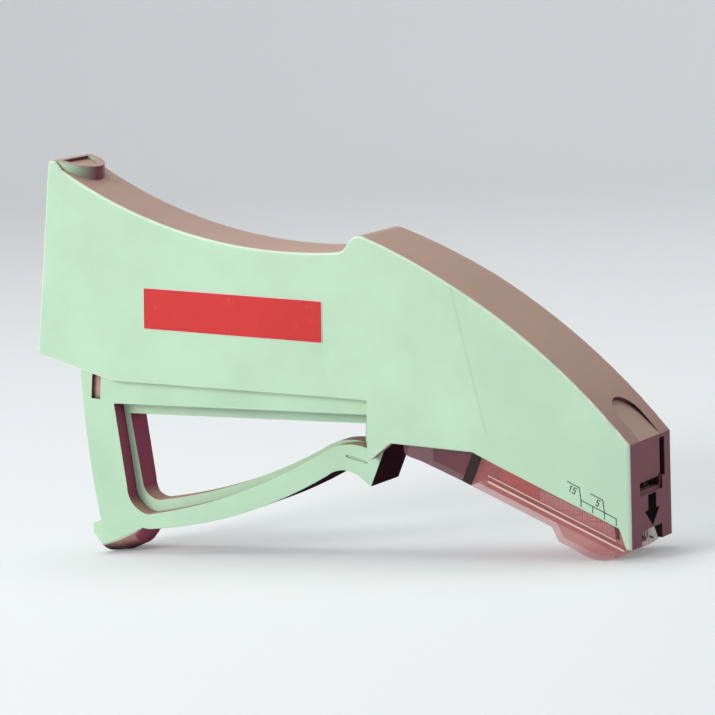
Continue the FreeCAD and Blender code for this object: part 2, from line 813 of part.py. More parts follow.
def finger_corners():
    """Opening for the fingers, inside the thin middle rib."""
    rear = S["rear_bar_depth"] - S["trigger_rear_reach"] + S["rib_rear_ledge"]
    ledge = S["rib_ledge"]
    return [
        (rear, S["loop_top_rear"] - ledge),
        (S["rib_rear_ledge"] - S["loop_corner_reach"], -S["loop_corner_drop"], 4.6),
        (0.6 - S["loop_floor_reach"], ledge - S["loop_floor_drop"], S["loop_floor_radius"] + ledge),
        (-(S["loop_throat_reach"] + 3), 0.4 - S["loop_throat_drop"] - 1, -13),
        (-(S["loop_front_reach"] + 2.6), 0.5 - S["loop_front_drop"]),
        (-(S["loop_front_reach"] + 2.6), S["loop_top_front"] - ledge),
    ]


def arm_corners():
    """Side outline of the arm that runs forward inside the nose to the drive pin."""
    x, z, r = S["arm_end_x"], S["arm_end_height"], S["arm_end_radius"]
    return [
        (-8, S["top_bar_height"] - 1),
        (0, S["arm_height"] - 2),
        (20, S["arm_height"]),
        (x - 8, z + r + 2.4),
        (x, z + r, -r),
        (x + r, z, -r),
        (x, z - r),
        (x - 4, z - r + 0.6),
        (28, S["arm_clearance"] - 0.6),
        (11, S["arm_clearance"]),
        (4.2, 3.4),
        (0, 0),
    ]


def heel_section(body, number, reach, top, bottom, half, crown):
    """One cross-section of the heel: flat above, crowned below."""
    radius = (half * half + crown * crown) / (2 * crown)
    corners = [
        (-half, -top),
        (-half, -bottom, radius),
        (half, -bottom),
        (half, -top),
    ]
    sketch = outline(body, f"Heel{number}", "YZ_Plane", corners)
    bind(sketch, "AttachmentOffset.Base.z", -reach)
    return sketch


def trigger():
    """The squeezed lever: a finger loop with a ribbed rim, a flared heel and a drive arm."""
    body = new_body("trigger")
    pad(body, outline(body, "TriggerRim", "XZ_Plane", trigger_corners()), -trigger_half, trigger_half)
    finger = outline(body, "FingerHole", "XZ_Plane", finger_corners())
    pocket(body, finger, -trigger_half - 1, trigger_half + 1)
    for name, low, high in (
        ("LoopNear", -trigger_half - 1, -S["rib_half"]),
        ("LoopFar", S["rib_half"], trigger_half + 1),
    ):
        pocket(body, outline(body, name, "XZ_Plane", loop_corners()), low, high)
    heel(body)
    pad(body, outline(body, "DriveArm", "XZ_Plane", arm_corners()), -S["arm_half"], S["arm_half"])
    guide_grooves(body)
    engrave_mark(body)
    spigot = disc(body, "ReturnSpigot", "XY_Plane", -S["return_reach"], 0,
                  S["return_radius"] - S["return_wire"] - 0.2)
    pad(body, spigot, return_foot - 0.5, return_foot + S["return_spigot"])
    bore = disc(body, "PivotBore", "XZ_Plane", 0, 0, S["pin_radius"] + S["pin_play"])
    pocket(body, bore, -trigger_half - 1, trigger_half + 1)
    pin_hole = disc(body, "DrivePinHole", "XZ_Plane", S["arm_end_x"], S["arm_end_height"],
                    S["drive_pin_radius"] + 0.01)
    pocket(body, pin_hole, -S["arm_half"] - 1, S["arm_half"] + 1)
    return body


def heel(body):
    """Foot under the rear bar, with a tail behind it: lofted through five crowned sections."""
    tail = S["heel_reach"] + S["heel_tail"]
    low = S["heel_drop"] + S["heel_thickness"]
    inner_top = S["lower_bar_drop"] - 3.2
    front = S["lower_bar_reach"] + 2.0
    crown = S["heel_crown"]
    half = trigger_half
    sections = [
        heel_section(body, 1, tail, S["heel_drop"] + 0.9, low - 2.4, half - 0.3, crown),
        heel_section(body, 2, tail - 2.6, S["heel_drop"] - 0.2, low + 0.3, half, crown),
        heel_section(body, 3, front + 6.0, inner_top, low - 1.6, half, crown + 1.3),
        heel_section(body, 4, front + 2.2, inner_top, S["lower_bar_drop"] + 0.9, half, crown + 1.5),
        heel_section(body, 5, front, inner_top, S["lower_bar_drop"] + 0.1, half, crown / 3),
    ]
    loft = body.newObject("PartDesign::AdditiveLoft", "HeelLoft")
    loft.Profile = sections[0]
    loft.Sections = sections[1:]
    loft.Ruled = True
    settle(body, loft, grows=True)


def guide_grooves(body):
    """Arc-shaped grooves round the pivot, one in each side of the rear bar."""
    half = S["guide_nub"] + S["guide_play"]
    inner, outer = guide_reach - half, guide_reach + half
    low = S["guide_low"]
    end_play = half / guide_reach * (180 / math.pi)
    first, last = low - end_play, low + S["trigger_turn"] + end_play
    corners = [
        (-(outer * cosine(first)), outer * sine(first), -outer),
        (-(outer * cosine(last)), outer * sine(last)),
        (-(inner * cosine(last)), inner * sine(last), inner),
        (-(inner * cosine(first)), inner * sine(first)),
    ]
    for name, low_y, high_y in (
        ("GuideNear", -trigger_half - 1, S["guide_depth"] - trigger_half),
        ("GuideFar", trigger_half - S["guide_depth"], trigger_half + 1),
    ):
        pocket(body, outline(body, name, "XZ_Plane", corners), low_y, high_y)


def engrave_mark(body):
    """Short engraved line on the near side of the toe."""
    rear, front, width = -S["mark_rear_reach"], -S["mark_front_reach"], S["mark_width"]
    top = -S["mark_drop"]
    fall = S["mark_fall"]
    corners = [(rear, top), (front, top - fall), (front, top - fall - width), (rear, top - width)]
    sketch = outline(body, "ToeMark", "XZ_Plane", corners)
    pocket(body, sketch, -trigger_half - 1, S["mark_depth"] - trigger_half)


def drive_pin():
    """Cross pin in the arm's end that carries the driver block down and up."""
    body = new_body("drive_pin")
    reach = trigger_half - 0.2
    sketch = disc(body, "DrivePin", "XZ_Plane", S["arm_end_x"], S["arm_end_height"], S["drive_pin_radius"])
    pad(body, sketch, -reach, reach)
    return body


def driver_block():
    """Plastic slide with two cheeks; the drive pin runs in its slots."""
    body = new_body("driver_block")
    half = cavity_half - S["side_gap"]
    rear, front = blade_rear_x - S["block_length"], blade_rear_x
    x, z, r = S["arm_end_x"], S["arm_end_height"], S["arm_end_radius"]
    shoulder = nose_height(front, S["wall"]) - 0.9
    corners = [
        (rear, -S["block_drop"]),
        (front, -S["block_drop"]),
        (front, shoulder),
        (front - 2.6, nose_height(front - 2.6, S["wall"]) - 0.9),
        (rear, S["block_height"]),
    ]
    pad(body, outline(body, "BlockSide", "XZ_Plane", corners), -half, half)
    gap = S["arm_half"] + S["side_gap"]
    inner = rectangle(rear - 1, x + r + 0.4, z - r - 0.6, S["block_height"] + 6)
    pocket(body, outline(body, "BlockGap", "XZ_Plane", inner), -gap, gap)
    swing = x - x * cosine(S["trigger_turn"]) + 0.3
    play = S["drive_pin_radius"] + 0.12
    bend = play + ARC_SLACK
    slot = [
        (x - swing, z - play),
        (x + 0.1, z - play, bend),
        (x + 0.1, z + play),
        (x - swing, z + play, bend),
    ]
    pocket(body, outline(body, "PinSlot", "XZ_Plane", slot), -half - 1, half + 1)
    for name, y in (("StakeNear", -4), ("StakeFar", 4)):
        stake = disc(body, name, "YZ_Plane", y, -1.2, S["stake_radius"])
        pad(body, stake, front - 0.5, blade_front_x + 0.1)
    return body


def former_blade():
    """Steel blade whose two prongs bend the staple down round the anvil."""
    body = new_body("former_blade")
    half = S["staple_half"] + 0.3
    fork = S["rail_half"] + 0.3
    tip, crotch = -S["blade_rest"], S["blade_fork"] - S["blade_rest"]
    corners = [
        (-half, tip),
        (-fork, tip),
        (-fork, crotch),
        (fork, crotch),
        (fork, tip),
        (half, tip),
        (half, S["blade_top"]),
        (-half, S["blade_top"]),
    ]
    pad(body, outline(body, "Blade", "YZ_Plane", corners), blade_rear_x, blade_front_x)
    for name, y in (("HoleNear", -4), ("HoleFar", 4)):
        hole = disc(body, name, "YZ_Plane", y, -1.2, S["stake_radius"] + 0.02)
        pocket(body, hole, blade_rear_x - 1, blade_front_x + 1)
    return body


def staple_corners():
    """One open staple seen from the front: a wide crown with two short legs."""
    half, wire, leg = S["staple_half"], S["staple_wire"], S["staple_leg"]
    top = -S["crown_drop"]
    bend = wire + 0.3
    return [
        (-half, top - leg),
        (wire - half, top - leg),
        (wire - half, top - wire),
        (half - wire, top - wire),
        (half - wire, top - leg),
        (half, top - leg),
        (half, top - bend),
        (half - bend, top),
        (bend - half, top),
        (-half, top - bend),
    ]


def loaded_staple():
    """The staple that waits under the blade."""
    body = new_body("loaded_staple")
    low = staple_x - S["staple_wire"] / 2
    pad(body, outline(body, "Staple", "YZ_Plane", staple_corners()), low, low + S["staple_wire"])
    return body


def staple_stack():
    """The rest of the staples, each a solid of its own, down the sloping rail."""
    body = new_body("staple_stack")
    body.AllowCompound = True
    angle = S["track_angle"]
    rise = S["staple_pitch"] * sine(angle) / cosine(angle)
    low = staple_x - S["staple_pitch"] - S["staple_wire"] / 2
    sketch = outline(body, "StackStaple", "YZ_Plane", [
        (corner[0], corner[1] + rise) + tuple(corner[2:]) for corner in staple_corners()])
    first = pad(body, sketch, low, low + S["staple_wire"])
    track = new_sketch(body, "StackTrack", "XZ_Plane")
    track.AttachmentOffset = FreeCAD.Placement(
        FreeCAD.Vector(), FreeCAD.Rotation(FreeCAD.Vector(0, 0, 1), -angle.value))
    doc.recompute()
    pattern = body.newObject("PartDesign::LinearPattern", "StackPattern")
    pattern.Originals = [first]
    pattern.Direction = (track, ["H_Axis"])
    pattern.Reversed = True
    bind(pattern, "Length", S["staple_pitch"] * (S["staple_count"] - 2) / cosine(angle))
    bind(pattern, "Occurrences", S["staple_count"] - 1)
    body.Tip = pattern
    settle(body, pattern, grows=True)
    return body


def staple_rail():
    """Steel strip that the crowns ride on; its flat front end is the anvil."""
    body = new_body("staple_rail")
    thick = S["rail_thickness"]
    rear, bend, front = S["rail_rear_x"], staple_x, blade_front_x
    flat = crown_height(bend, rail_top)
    corners = [
        (rear, crown_height(rear, rail_top)),
        (rear, crown_height(rear, rail_top - thick)),
        (bend, flat - thick),
        (front, flat - thick),
        (front, flat),
        (bend, flat),
    ]
    pad(body, outline(body, "Rail", "XZ_Plane", corners), -S["rail_half"], S["rail_half"])
    return body


def magazine_track():
    """Base that stands on the cover's floor, with the middle rib that carries the rail."""
    body = new_body("magazine_track")
    rear, front = S["rail_rear_x"], track_front_x
    floor = -(S["cover_depth"] - S["cover_wall"] / cosine(S["track_angle"])) + 0.02
    half = cover_half - S["cover_wall"] - S["seat_gap"]
    chamfer = S["track_chamfer"]
    corners = [
        (rear, crown_height(rear, track_base)),
        (rear, crown_height(rear, floor)),
        (front - 2 * chamfer, crown_height(front - 2 * chamfer, floor)),
        (front, crown_height(front, floor + chamfer)),
        (front, crown_height(front, track_base)),
    ]
    pad(body, outline(body, "TrackBase", "XZ_Plane", corners), -half, half)
    top = rail_top - S["rail_thickness"]
    rib_front = front - S["ejector_length"] - 0.2
    rib = [
        (rear, crown_height(rear, top)),
        (rear, crown_height(rear, track_base - 0.5)),
        (rib_front, crown_height(rib_front, track_base - 0.5)),
        (rib_front, crown_height(rib_front, top)),
    ]
    pad(body, outline(body, "TrackRib", "XZ_Plane", rib), -(S["rail_half"] - 0.5), S["rail_half"] - 0.5)
    return body


def ejector_spring():
    """Leaf under the anvil that flicks the closed staple off it."""
    body = new_body("ejector_spring")
    front = track_front_x
    rear = front - S["ejector_length"]
    thick = S["ejector_thickness"]
    tip_x = blade_front_x
    tip = crown_height(staple_x, rail_top - S["rail_thickness"]) - 0.1
    corners = [
        (rear, crown_height(rear, track_base)),
        (front - 1.0, crown_height(front - 1.0, track_base)),
        (tip_x, tip - thick),
        (tip_x, tip),
        (front - 1.2, crown_height(front - 1.2, track_base) + thick * 1.3),
        (rear, crown_height(rear, track_base) + thick * 1.1),
    ]
    pad(body, outline(body, "Ejector", "XZ_Plane", corners), -S["ejector_half"], S["ejector_half"])
    return body


def pusher():
    """Follower that straddles the rail and presses the staples forward."""
    body = new_body("pusher")
    front = stack_rear_x - 0.04
    rear = pusher_rear_x
    low = -(S["staple_leg"] + 0.1)
    post = S["feed_height"] + S["feed_radius"] + 0.5
    half = S["staple_half"]
    corners = [
        square_to_track(rear, low),
        (front, crown_height(front, low)),
        (front, crown_height(front, 0.25)),
        (rear + 3.4, crown_height(rear + 3.4, 0.25)),
        square_to_track(rear + 2.4, post),
        square_to_track(rear, post),
    ]
    pad(body, outline(body, "PusherSide", "XZ_Plane", corners), -half, half)
    roof = 0.2 - S["staple_wire"]
    behind, ahead = rear - 4, front + 1
    slot = [
        (behind, crown_height(behind, low - 2)),
        (ahead, crown_height(ahead, low - 2)),
        (ahead, crown_height(ahead, roof)),
        (behind, crown_height(behind, roof)),
    ]
    gap = S["rail_half"] + 0.25
    pocket(body, outline(body, "PusherSlot", "XZ_Plane", slot), -gap, gap)
    start = rear - 1
    bore = track_disc(body, "PusherBore", S["rod_radius"] + S["rod_play"], start)
    cut_along(body, bore, S["pusher_length"] + 4)
    return body


def track_disc(body, name, radius, x):
    """A circle round the feed rod's line, square to it, at the given x."""
    sketch = disc(body, name, "YZ_Plane", 0, 0, radius)
    angle = S["track_angle"]
    sketch.AttachmentOffset = FreeCAD.Placement(
        FreeCAD.Vector(), FreeCAD.Rotation(FreeCAD.Vector(1, 0, 0), angle.value))
    bind(sketch, "AttachmentOffset.Rotation.Angle", angle)
    bind(sketch, "AttachmentOffset.Base.y", crown_height(x, S["feed_height"]))
    bind(sketch, "AttachmentOffset.Base.z", x)
    return sketch


def cut_along(body, sketch, length):
    """Bore the circle forward along the feed rod's line."""
    feature = body.newObject("PartDesign::Pocket", sketch.Label + "Pocket")
    feature.Profile = sketch
    feature.Reversed = True
    bind(feature, "Length", length)
    return settle(body, feature, grows=False)


def feed_rod():
    """Thin steel rod that keeps the feed spring straight."""
    body = new_body("feed_rod")
    start = S["feed_rear_x"] - S["plug_length"] / 2
    sketch = track_disc(body, "FeedRod", S["rod_radius"], start)
    feature = body.newObject("PartDesign::Pad", "FeedRodPad")
    feature.Profile = sketch
    bind(feature, "Length", (S["rod_front_x"] - start) / cosine(S["track_angle"]))
    settle(body, feature, grows=True)
    return body


def spring_plug():
    """Block on the tail that holds the rod and backs the feed spring."""
    body = new_body("spring_plug")
    front, rear = S["feed_rear_x"], S["feed_rear_x"] - S["plug_length"]
    top_x, top_z = square_to_track(front, S["feed_height"] + S["feed_radius"] + 0.4)
    slope = sine(S["track_angle"]) / cosine(S["track_angle"])
    foot = -S["tail_top_drop"]
    foot_x = top_x - (top_z - foot) * slope
    side = [(rear, foot), (foot_x, foot), (top_x, top_z), (rear, top_z)]
    pad(body, outline(body, "PlugSide", "XZ_Plane", side), -S["plug_half"], S["plug_half"])
    hole = track_disc(body, "PlugHole", S["rod_radius"] + 0.01, S["feed_rear_x"] - S["plug_length"] / 2)
    cut_along(body, hole, S["plug_length"])
    return body


def collar_corner(along, up):
    """A point of the collar's side: so far forward along the track, and so far up across it."""
    angle = S["track_angle"]
    x = S["collar_x"] + along * cosine(angle) + up * sine(angle)
    z = up * cosine(angle) - along * sine(angle) - S["collar_drop"]
    return x, z


def magazine_collar():
    """Dark bulkhead between the clear cover and the clear tail."""
    body = new_body("magazine_collar")
    width, height = S["collar_width"], S["collar_height"]
    corners = [collar_corner(0, 0), collar_corner(width, 0), collar_corner(width, height),
               collar_corner(0, height)]
    half = cover_half + S["collar_proud"]
    pad(body, outline(body, "CollarSide", "XZ_Plane", corners), -half, half)
    bore = track_disc(body, "CollarBore", S["feed_radius"] + S["feed_wire"] + 0.35, S["collar_x"] - 3)
    cut_along(body, bore, 12)
    return body


def magazine_cover():
    """Clear trough round the staples, with the belly that rests on the skin."""
    body = new_body("magazine_cover")
    angle = S["track_angle"]
    wall = S["cover_wall"]
    gap = S["seat_gap"]
    x0, z0 = collar_corner(S["collar_width"] + gap, 0)
    depth = -S["cover_depth"]
    skirt_slope = (S["skirt_front_drop"] - S["skirt_drop"]) / (S["skirt_front_x"] - S["skirt_knee_x"])
    climb = (skirt_height(x0, S["cover_rise"]) - z0) / (cosine(angle) + skirt_slope * sine(angle))
    top_x, top_z = x0 + climb * sine(angle), z0 + climb * cosine(angle)
    step_x = S["belly_rear_x"] + 1.7
    front = inner_front_x - 0.25
    leg_x = S["front_x"] + S["front_lean"] - S["leg_foot"] - 0.15
    tip_x, tip_z = S["nose_tip_x"], -S["nose_tip_drop"]
    belly = [
        (S["belly_rear_x"], crown_height(S["belly_rear_x"], depth)),
        (step_x, crown_height(step_x, depth - S["belly_depth"] + 0.6)),
        (S["belly_low_x"], -S["belly_low_drop"], S["belly_radius"]),
    ]
    corners = [(x0, crown_height(x0, depth))] + belly + [
        (tip_x, tip_z),
        (leg_x, -S["leg_drop"]),
        (front, skirt_height(front, 0)),
        (front, skirt_height(front, S["cover_rise"])),
        (top_x, top_z),
    ]
    pad(body, outline(body, "CoverSide", "XZ_Plane", corners), -cover_half, cover_half)
    half = cover_half - wall
    floor = depth + wall / cosine(angle)
    rear = x0 - 4
    hollow = [
        (rear, crown_height(rear, floor)),
        (S["belly_rear_x"] + 0.7, crown_height(S["belly_rear_x"] + 0.7, floor)),
        (step_x + 0.8, crown_height(step_x + 0.8, floor - S["belly_depth"] + 0.6)),
        (S["belly_low_x"] + 0.2, wall - S["belly_low_drop"], S["belly_radius"] - wall),
        (tip_x - 0.3, tip_z + wall),
        (tip_x + 3, tip_z + wall),
        (tip_x + 3, 10),
        (rear, 10),
    ]
    pocket(body, outline(body, "CoverHollow", "XZ_Plane", hollow), -half, half)
    away = rectangle(tip_x - S["exit_length"], tip_x + 3, tip_z - 5, -S["notch_drop"])
    pocket(body, outline(body, "CoverExit", "XZ_Plane", away), -S["notch_half"], S["notch_half"])
    return body


def magazine_tail():
    """Clear rear end of the magazine, a tray that carries the spring plug."""
    body = new_body("magazine_tail")
    gap = -S["seat_gap"]
    bottom_x, bottom_z = collar_corner(gap, 0)
    top = -S["tail_top_drop"]
    angle = S["track_angle"]
    top_x = bottom_x + (top - bottom_z) * sine(angle) / cosine(angle)
    corners = [
        (S["tail_x"], top),
        (S["tail_x"], 0.8 - S["tail_drop"]),
        (S["tail_x"] + 1, -S["tail_drop"]),
        (S["tail_shoulder_x"], -S["tail_shoulder_drop"]),
        (bottom_x, bottom_z),
        (top_x, top),
    ]
    pad(body, outline(body, "TailSide", "XZ_Plane", corners), -cover_half, cover_half)
    wall = S["cover_wall"]
    half = cover_half - wall
    start = S["feed_rear_x"] + 1
    floor_slope = (S["collar_drop"] - S["tail_shoulder_drop"]) / (S["collar_x"] - S["tail_shoulder_x"])
    floor = wall - S["tail_shoulder_drop"] - (start - S["tail_shoulder_x"]) * floor_slope
    end = S["collar_x"] + 6
    hollow = [
        (start, floor),
        (end, floor - (end - start) * floor_slope),
        (end, 3),
        (start, 3),
    ]
    pocket(body, outline(body, "TailHollow", "XZ_Plane", hollow), -half, half)
    return body


def coil(label, radius, wire, turns, length):
    """A compression spring along Z with closed end turns, of short straight runs of wire."""
    steps = round(turns * COIL_STEPS)
    lead = wire * 1.1
    middle_lead = (length - wire - 2 * lead) / (turns - 2)
    points = []
    for step in range(steps + 1):
        turn = step / COIL_STEPS
        ends = min(turn, 1) + max(turn - (turns - 1), 0)
        height = wire / 2 + ends * lead + min(max(turn - 1, 0), turns - 2) * middle_lead
        angle = 2 * math.pi * turn
        points.append(FreeCAD.Vector(radius * math.cos(angle), radius * math.sin(angle), height))
    along = [(after - here).normalize() for here, after in zip(points, points[1:])]
    across = FreeCAD.Vector(1, 0, 0)
    upward = along[0].cross(across).normalize()
    across = upward.cross(along[0])
    ring = []
    for side in range(COIL_SIDES):
        angle = 2 * math.pi * side / COIL_SIDES
        ring.append(points[0] + (across * math.cos(angle) + upward * math.sin(angle)) * (wire / 2))
    faces = [Part.Face(Part.makePolygon(ring + ring[:1]))]
    for number, direction in enumerate(along):
        following = along[number + 1] if number + 1 < len(along) else direction
        normal = direction + following
        point = points[number + 1]
        after = [v + direction * ((point - v).dot(normal) / direction.dot(normal)) for v in ring]
        for side in range(COIL_SIDES):
            other = (side + 1) % COIL_SIDES
            corners = [ring[side], ring[other], after[other], after[side], ring[side]]
            faces.append(Part.Face(Part.makePolygon(corners)))
        ring = after
    faces.append(Part.Face(Part.makePolygon(ring + ring[:1])))
    spring = doc.addObject("Part::Feature", label)
    solid = Part.Solid(Part.Shell(faces))
    if solid.Volume < 0:
        solid.reverse()
    spring.Shape = solid
    return spring


def feed_spring():
    """Spring between the plug and the pusher, round the feed rod."""
    angle = S["track_angle"]
    start = S["feed_rear_x"] + 0.05
    length = (pusher_rear_x - 0.05 - start) / cosine(angle)
    wire = S["feed_wire"].value
    spring = coil("feed_spring", S["feed_radius"].value, wire, S["feed_turns"].value, length.value - 0.4)
    at = FreeCAD.Vector(start.value, 0, crown_height(start, S["feed_height"]).value)
    turn = FreeCAD.Rotation(FreeCAD.Vector(0, 1, 0), 90 + angle.value)
    forward = turn.multVec(FreeCAD.Vector(0, 0, 0.2))
    spring.Placement = FreeCAD.Placement(at + forward, turn)
    return spring


def return_spring():
    """Spring between the trigger's top bar and the shelf under the saddle."""
    length = S["return_seat_height"].value - return_foot.value - 0.1
    spring = coil("return_spring", S["return_radius"].value, S["return_wire"].value,
                  S["return_turns"].value, length)
    at = FreeCAD.Vector(-S["return_reach"].value, 0, return_foot.value + 0.05)
    spring.Placement = FreeCAD.Placement(at, FreeCAD.Rotation())
    return spring


def lowest(piece, turn):
    """The lowest height that a piece reaches once it is turned."""
    shape = piece.Shape.copy()
    shape.Placement = FreeCAD.Placement(FreeCAD.Vector(), turn) * shape.Placement
    return shape.optimalBoundingBox(True, False).ZMin


def stand(pieces, rear_foot, front_foot):
    """Turn and lift every piece together, so that both feet touch the ground under the middle."""
    y_axis = FreeCAD.Vector(0, 1, 0)
    low_pitch, high_pitch = -10.0, 30.0
    for _ in range(40):
        pitch = (low_pitch + high_pitch) / 2
        turn = FreeCAD.Rotation(y_axis, pitch)
        if lowest(rear_foot, turn) < lowest(front_foot, turn):
            low_pitch = pitch
        else:
            high_pitch = pitch
    turned = FreeCAD.Placement(FreeCAD.Vector(), turn)
    boxes = []
    for piece in pieces:
        shape = piece.Shape.copy()
        shape.Placement = turned * shape.Placement
        boxes.append(shape.optimalBoundingBox(True, False))
    box = FreeCAD.BoundBox()
    for other in boxes:
        box.add(other)
    shift = FreeCAD.Vector(-box.Center.x, -box.Center.y, -box.ZMin)
    stance = FreeCAD.Placement(shift, turn)
    for piece in pieces:
        piece.Placement = stance * piece.Placement
    print(f"stance: pitch {pitch:.4f}, pivot at {shift.x:.4f}, {shift.y:.4f}, {shift.z:.4f}")
    return stance


def write_parts(pieces):
    """Stop on any failed object or bad solid, then write one file a piece."""
    doc.recompute()
    for thing in doc.Objects:
        if "Invalid" in thing.State or "Error" in thing.State:
            raise RuntimeError(f"{thing.Label} is {thing.State}")
    os.makedirs("parts", exist_ok=True)
    for piece in pieces:
        if piece.Shape.isNull() or not piece.Shape.isValid():
            raise RuntimeError(f"{piece.Label} has no valid shape")
        piece.Shape.exportStep(f"parts/{piece.Label}.step")
        print(f"{piece.Label}: {len(piece.Shape.Solids)} solids, {piece.Shape.Volume:.1f} mm3")


def main():
    loop = trigger()
    cover = magazine_cover()
    pieces = [
        loop,
        cover,
        casing_half("casing_left", -1),
        casing_half("casing_right", 1),
        pivot_pin(),
        return_spring(),
        drive_pin(),
        driver_block(),
        former_blade(),
        loaded_staple(),
        staple_stack(),
        staple_rail(),
        magazine_track(),
        ejector_spring(),
        magazine_collar(),
        magazine_tail(),
        pusher(),
        feed_spring(),
        feed_rod(),
        spring_plug(),
    ]
    stand(pieces, loop, cover)
    write_parts(pieces)


main()
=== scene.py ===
"""Looks of a single-use skin stapler: moulded shells, clear magazine, staples, springs and prints."""
import json
import math

import bmesh
import bpy
from bpy.props import FloatProperty, FloatVectorProperty, IntProperty, PointerProperty
from mathutils import Matrix, Vector


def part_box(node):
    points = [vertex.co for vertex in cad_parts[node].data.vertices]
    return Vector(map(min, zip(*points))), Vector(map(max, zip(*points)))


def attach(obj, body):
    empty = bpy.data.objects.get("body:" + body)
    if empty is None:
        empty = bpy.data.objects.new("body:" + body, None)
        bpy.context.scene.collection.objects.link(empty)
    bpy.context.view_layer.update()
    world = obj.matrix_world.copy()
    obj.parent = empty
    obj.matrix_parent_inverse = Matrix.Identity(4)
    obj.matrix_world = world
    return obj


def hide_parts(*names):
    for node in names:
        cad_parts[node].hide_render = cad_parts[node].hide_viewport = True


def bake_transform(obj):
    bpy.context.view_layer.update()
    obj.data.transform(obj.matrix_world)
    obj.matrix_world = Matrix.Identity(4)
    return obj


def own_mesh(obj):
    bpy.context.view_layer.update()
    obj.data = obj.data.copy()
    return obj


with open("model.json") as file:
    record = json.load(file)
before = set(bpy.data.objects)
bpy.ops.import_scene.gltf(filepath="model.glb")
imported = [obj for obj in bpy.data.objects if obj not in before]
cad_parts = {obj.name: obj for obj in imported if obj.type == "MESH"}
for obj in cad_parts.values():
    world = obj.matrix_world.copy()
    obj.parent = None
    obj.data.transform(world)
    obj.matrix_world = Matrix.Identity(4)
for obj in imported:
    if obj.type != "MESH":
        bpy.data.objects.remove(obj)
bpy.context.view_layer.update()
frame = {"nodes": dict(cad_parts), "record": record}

bl_info = {
    "name": "Skin stapler looks",
    "version": (1, 0, 0),
    "blender": (4, 5, 0),
    "location": "View3D > Sidebar > Stapler",
    "description": "Dresses the skin stapler's frame in its plastics, steels and prints",
    "category": "Object",
}

JOINTS = {joint["name"]: joint for joint in frame["record"]["behaviour"]["joints"]}
PIVOT = Vector(JOINTS["trigger_pivot"]["pos_m"])
DOWN = Vector(JOINTS["driver_slide"]["axis"])
STANCE = math.atan2(-DOWN.x, -DOWN.z)
# From the tool's own frame, in millimetres from the trigger's pivot, to the part's
TOOL = Matrix.Translation(PIVOT) @ Matrix.Rotation(STANCE, 4, "Y") @ Matrix.Scale(0.001, 4)
TURNED = Matrix.Rotation(STANCE, 3, "Y")

FLOAT, COLOUR, VECTOR = "NodeSocketFloat", "NodeSocketColor", "NodeSocketVector"
# What a group of surface looks puts out
SURFACE = [("Color", COLOUR), ("Roughness", FLOAT), ("Normal", VECTOR)]
SCUFF_TONE = (0.7, 0.68, 0.64, 1)
TARNISH_TONE = (0.12, 0.10, 0.09, 1)
# Metres within which a neighbouring face paints shade into a slot or a corner
SLOT_DEPTH = 0.004
# How much painted shade darkens the crease line, and the metres over which it fades out at its foot
CREASE_SHADE_STRENGTH = 0.09
CREASE_FADE = 0.002
# How strongly the painted highlight shows on the trigger's rounded side edges
EDGE_HIGHLIGHT_STRENGTH = 3.0


def colour_property(name, words, value):
    """A colour that the panel shows."""
    return FloatVectorProperty(name=name, description=words, default=value, size=3, min=0, max=1,
                               subtype="COLOR")


def length_property(name, words, millimetres):
    """A length that the panel shows."""
    return FloatProperty(name=name, description=words, default=millimetres / 1000, min=0, precision=5,
                         subtype="DISTANCE", unit="LENGTH")


def angle_property(name, words, degrees):
    """An angle that the panel shows."""
    return FloatProperty(name=name, description=words, default=math.radians(degrees),
                         subtype="ANGLE", unit="ROTATION")


class StaplerFinish(bpy.types.PropertyGroup):
    """Colours of the plastics and the prints, with tones of painted shade and painted highlight for the
    plastics.
    """

    flank: colour_property("Flank", "Shells and trigger where they face sideways", (0.51, 0.72, 0.525))
    # Painted shade: the rim tone darkens the narrow faces that look up
    rim: colour_property("Rim", "The same plastic on its narrow faces that look up", (0.60, 0.39, 0.31))
    # Painted highlight: the edge tone lightens the rounded edges
    edge: colour_property("Edge", "The same plastic on its rounded edges", (0.74, 0.88, 0.70))
    # Painted shade on faces that look forward
    shade: colour_property("Shade", "The same plastic on faces that look forward", (0.23, 0.054, 0.083))
    # Painted shade on the walls inside the trigger's loop
    lever_shade: colour_property("Lever shade", "Walls inside the trigger's loop", (0.36, 0.095, 0.15))
    # Painted shade deep in slots and corners
    crease: colour_property("Crease", "The same plastic deep in slots and corners", (0.035, 0.012, 0.018))
    clear: colour_property("Clear plastic", "Tint of the magazine's clear cover", (0.62, 0.18, 0.18))
    tail: colour_property("Tail", "Deeper tint of the magazine's clear tail", (0.17, 0.035, 0.05))
    # Painted highlight: pale lines on the clear cover
    bead: colour_property("Bead", "Pale lines moulded on the clear cover", (0.74, 0.62, 0.56))
    # Painted shadow under the shells' edge, and the stop bar seen through the clear cover
    stop: colour_property("Stop", "Dark bars seen through the clear cover", (0.10, 0.012, 0.02))
    # The bulkhead is real; its near black is partly painted shade
    collar: colour_property("Collar", "Bulkhead of the magazine", (0.022, 0.006, 0.009))
    follower: colour_property("Follower", "Pusher behind the staples", (0.62, 0.03, 0.03))
    track: colour_property("Track", "Base under the staples", (0.40, 0.13, 0.13))
    slide: colour_property("Slide", "Driver block", (0.10, 0.06, 0.06))
    steel: colour_property("Steel", "Pins, rail and blade", (0.56, 0.55, 0.54))
    wire: colour_property("Wire", "Staples", (0.80, 0.76, 0.74))
    spring: colour_property("Spring", "Coils and leaf", (0.42, 0.42, 0.43))
    label: colour_property("Label", "Plate on the near flank", (0.62, 0.028, 0.026))
    border: colour_property("Border", "Keyline of the plate", (0.74, 0.66, 0.62))
    print_ink: colour_property("Scale ink", "Fine print on the nose", (0.06, 0.11, 0.09))
    arrow_ink: colour_property("Arrow ink", "Bold print on the front", (0.012, 0.010, 0.012))


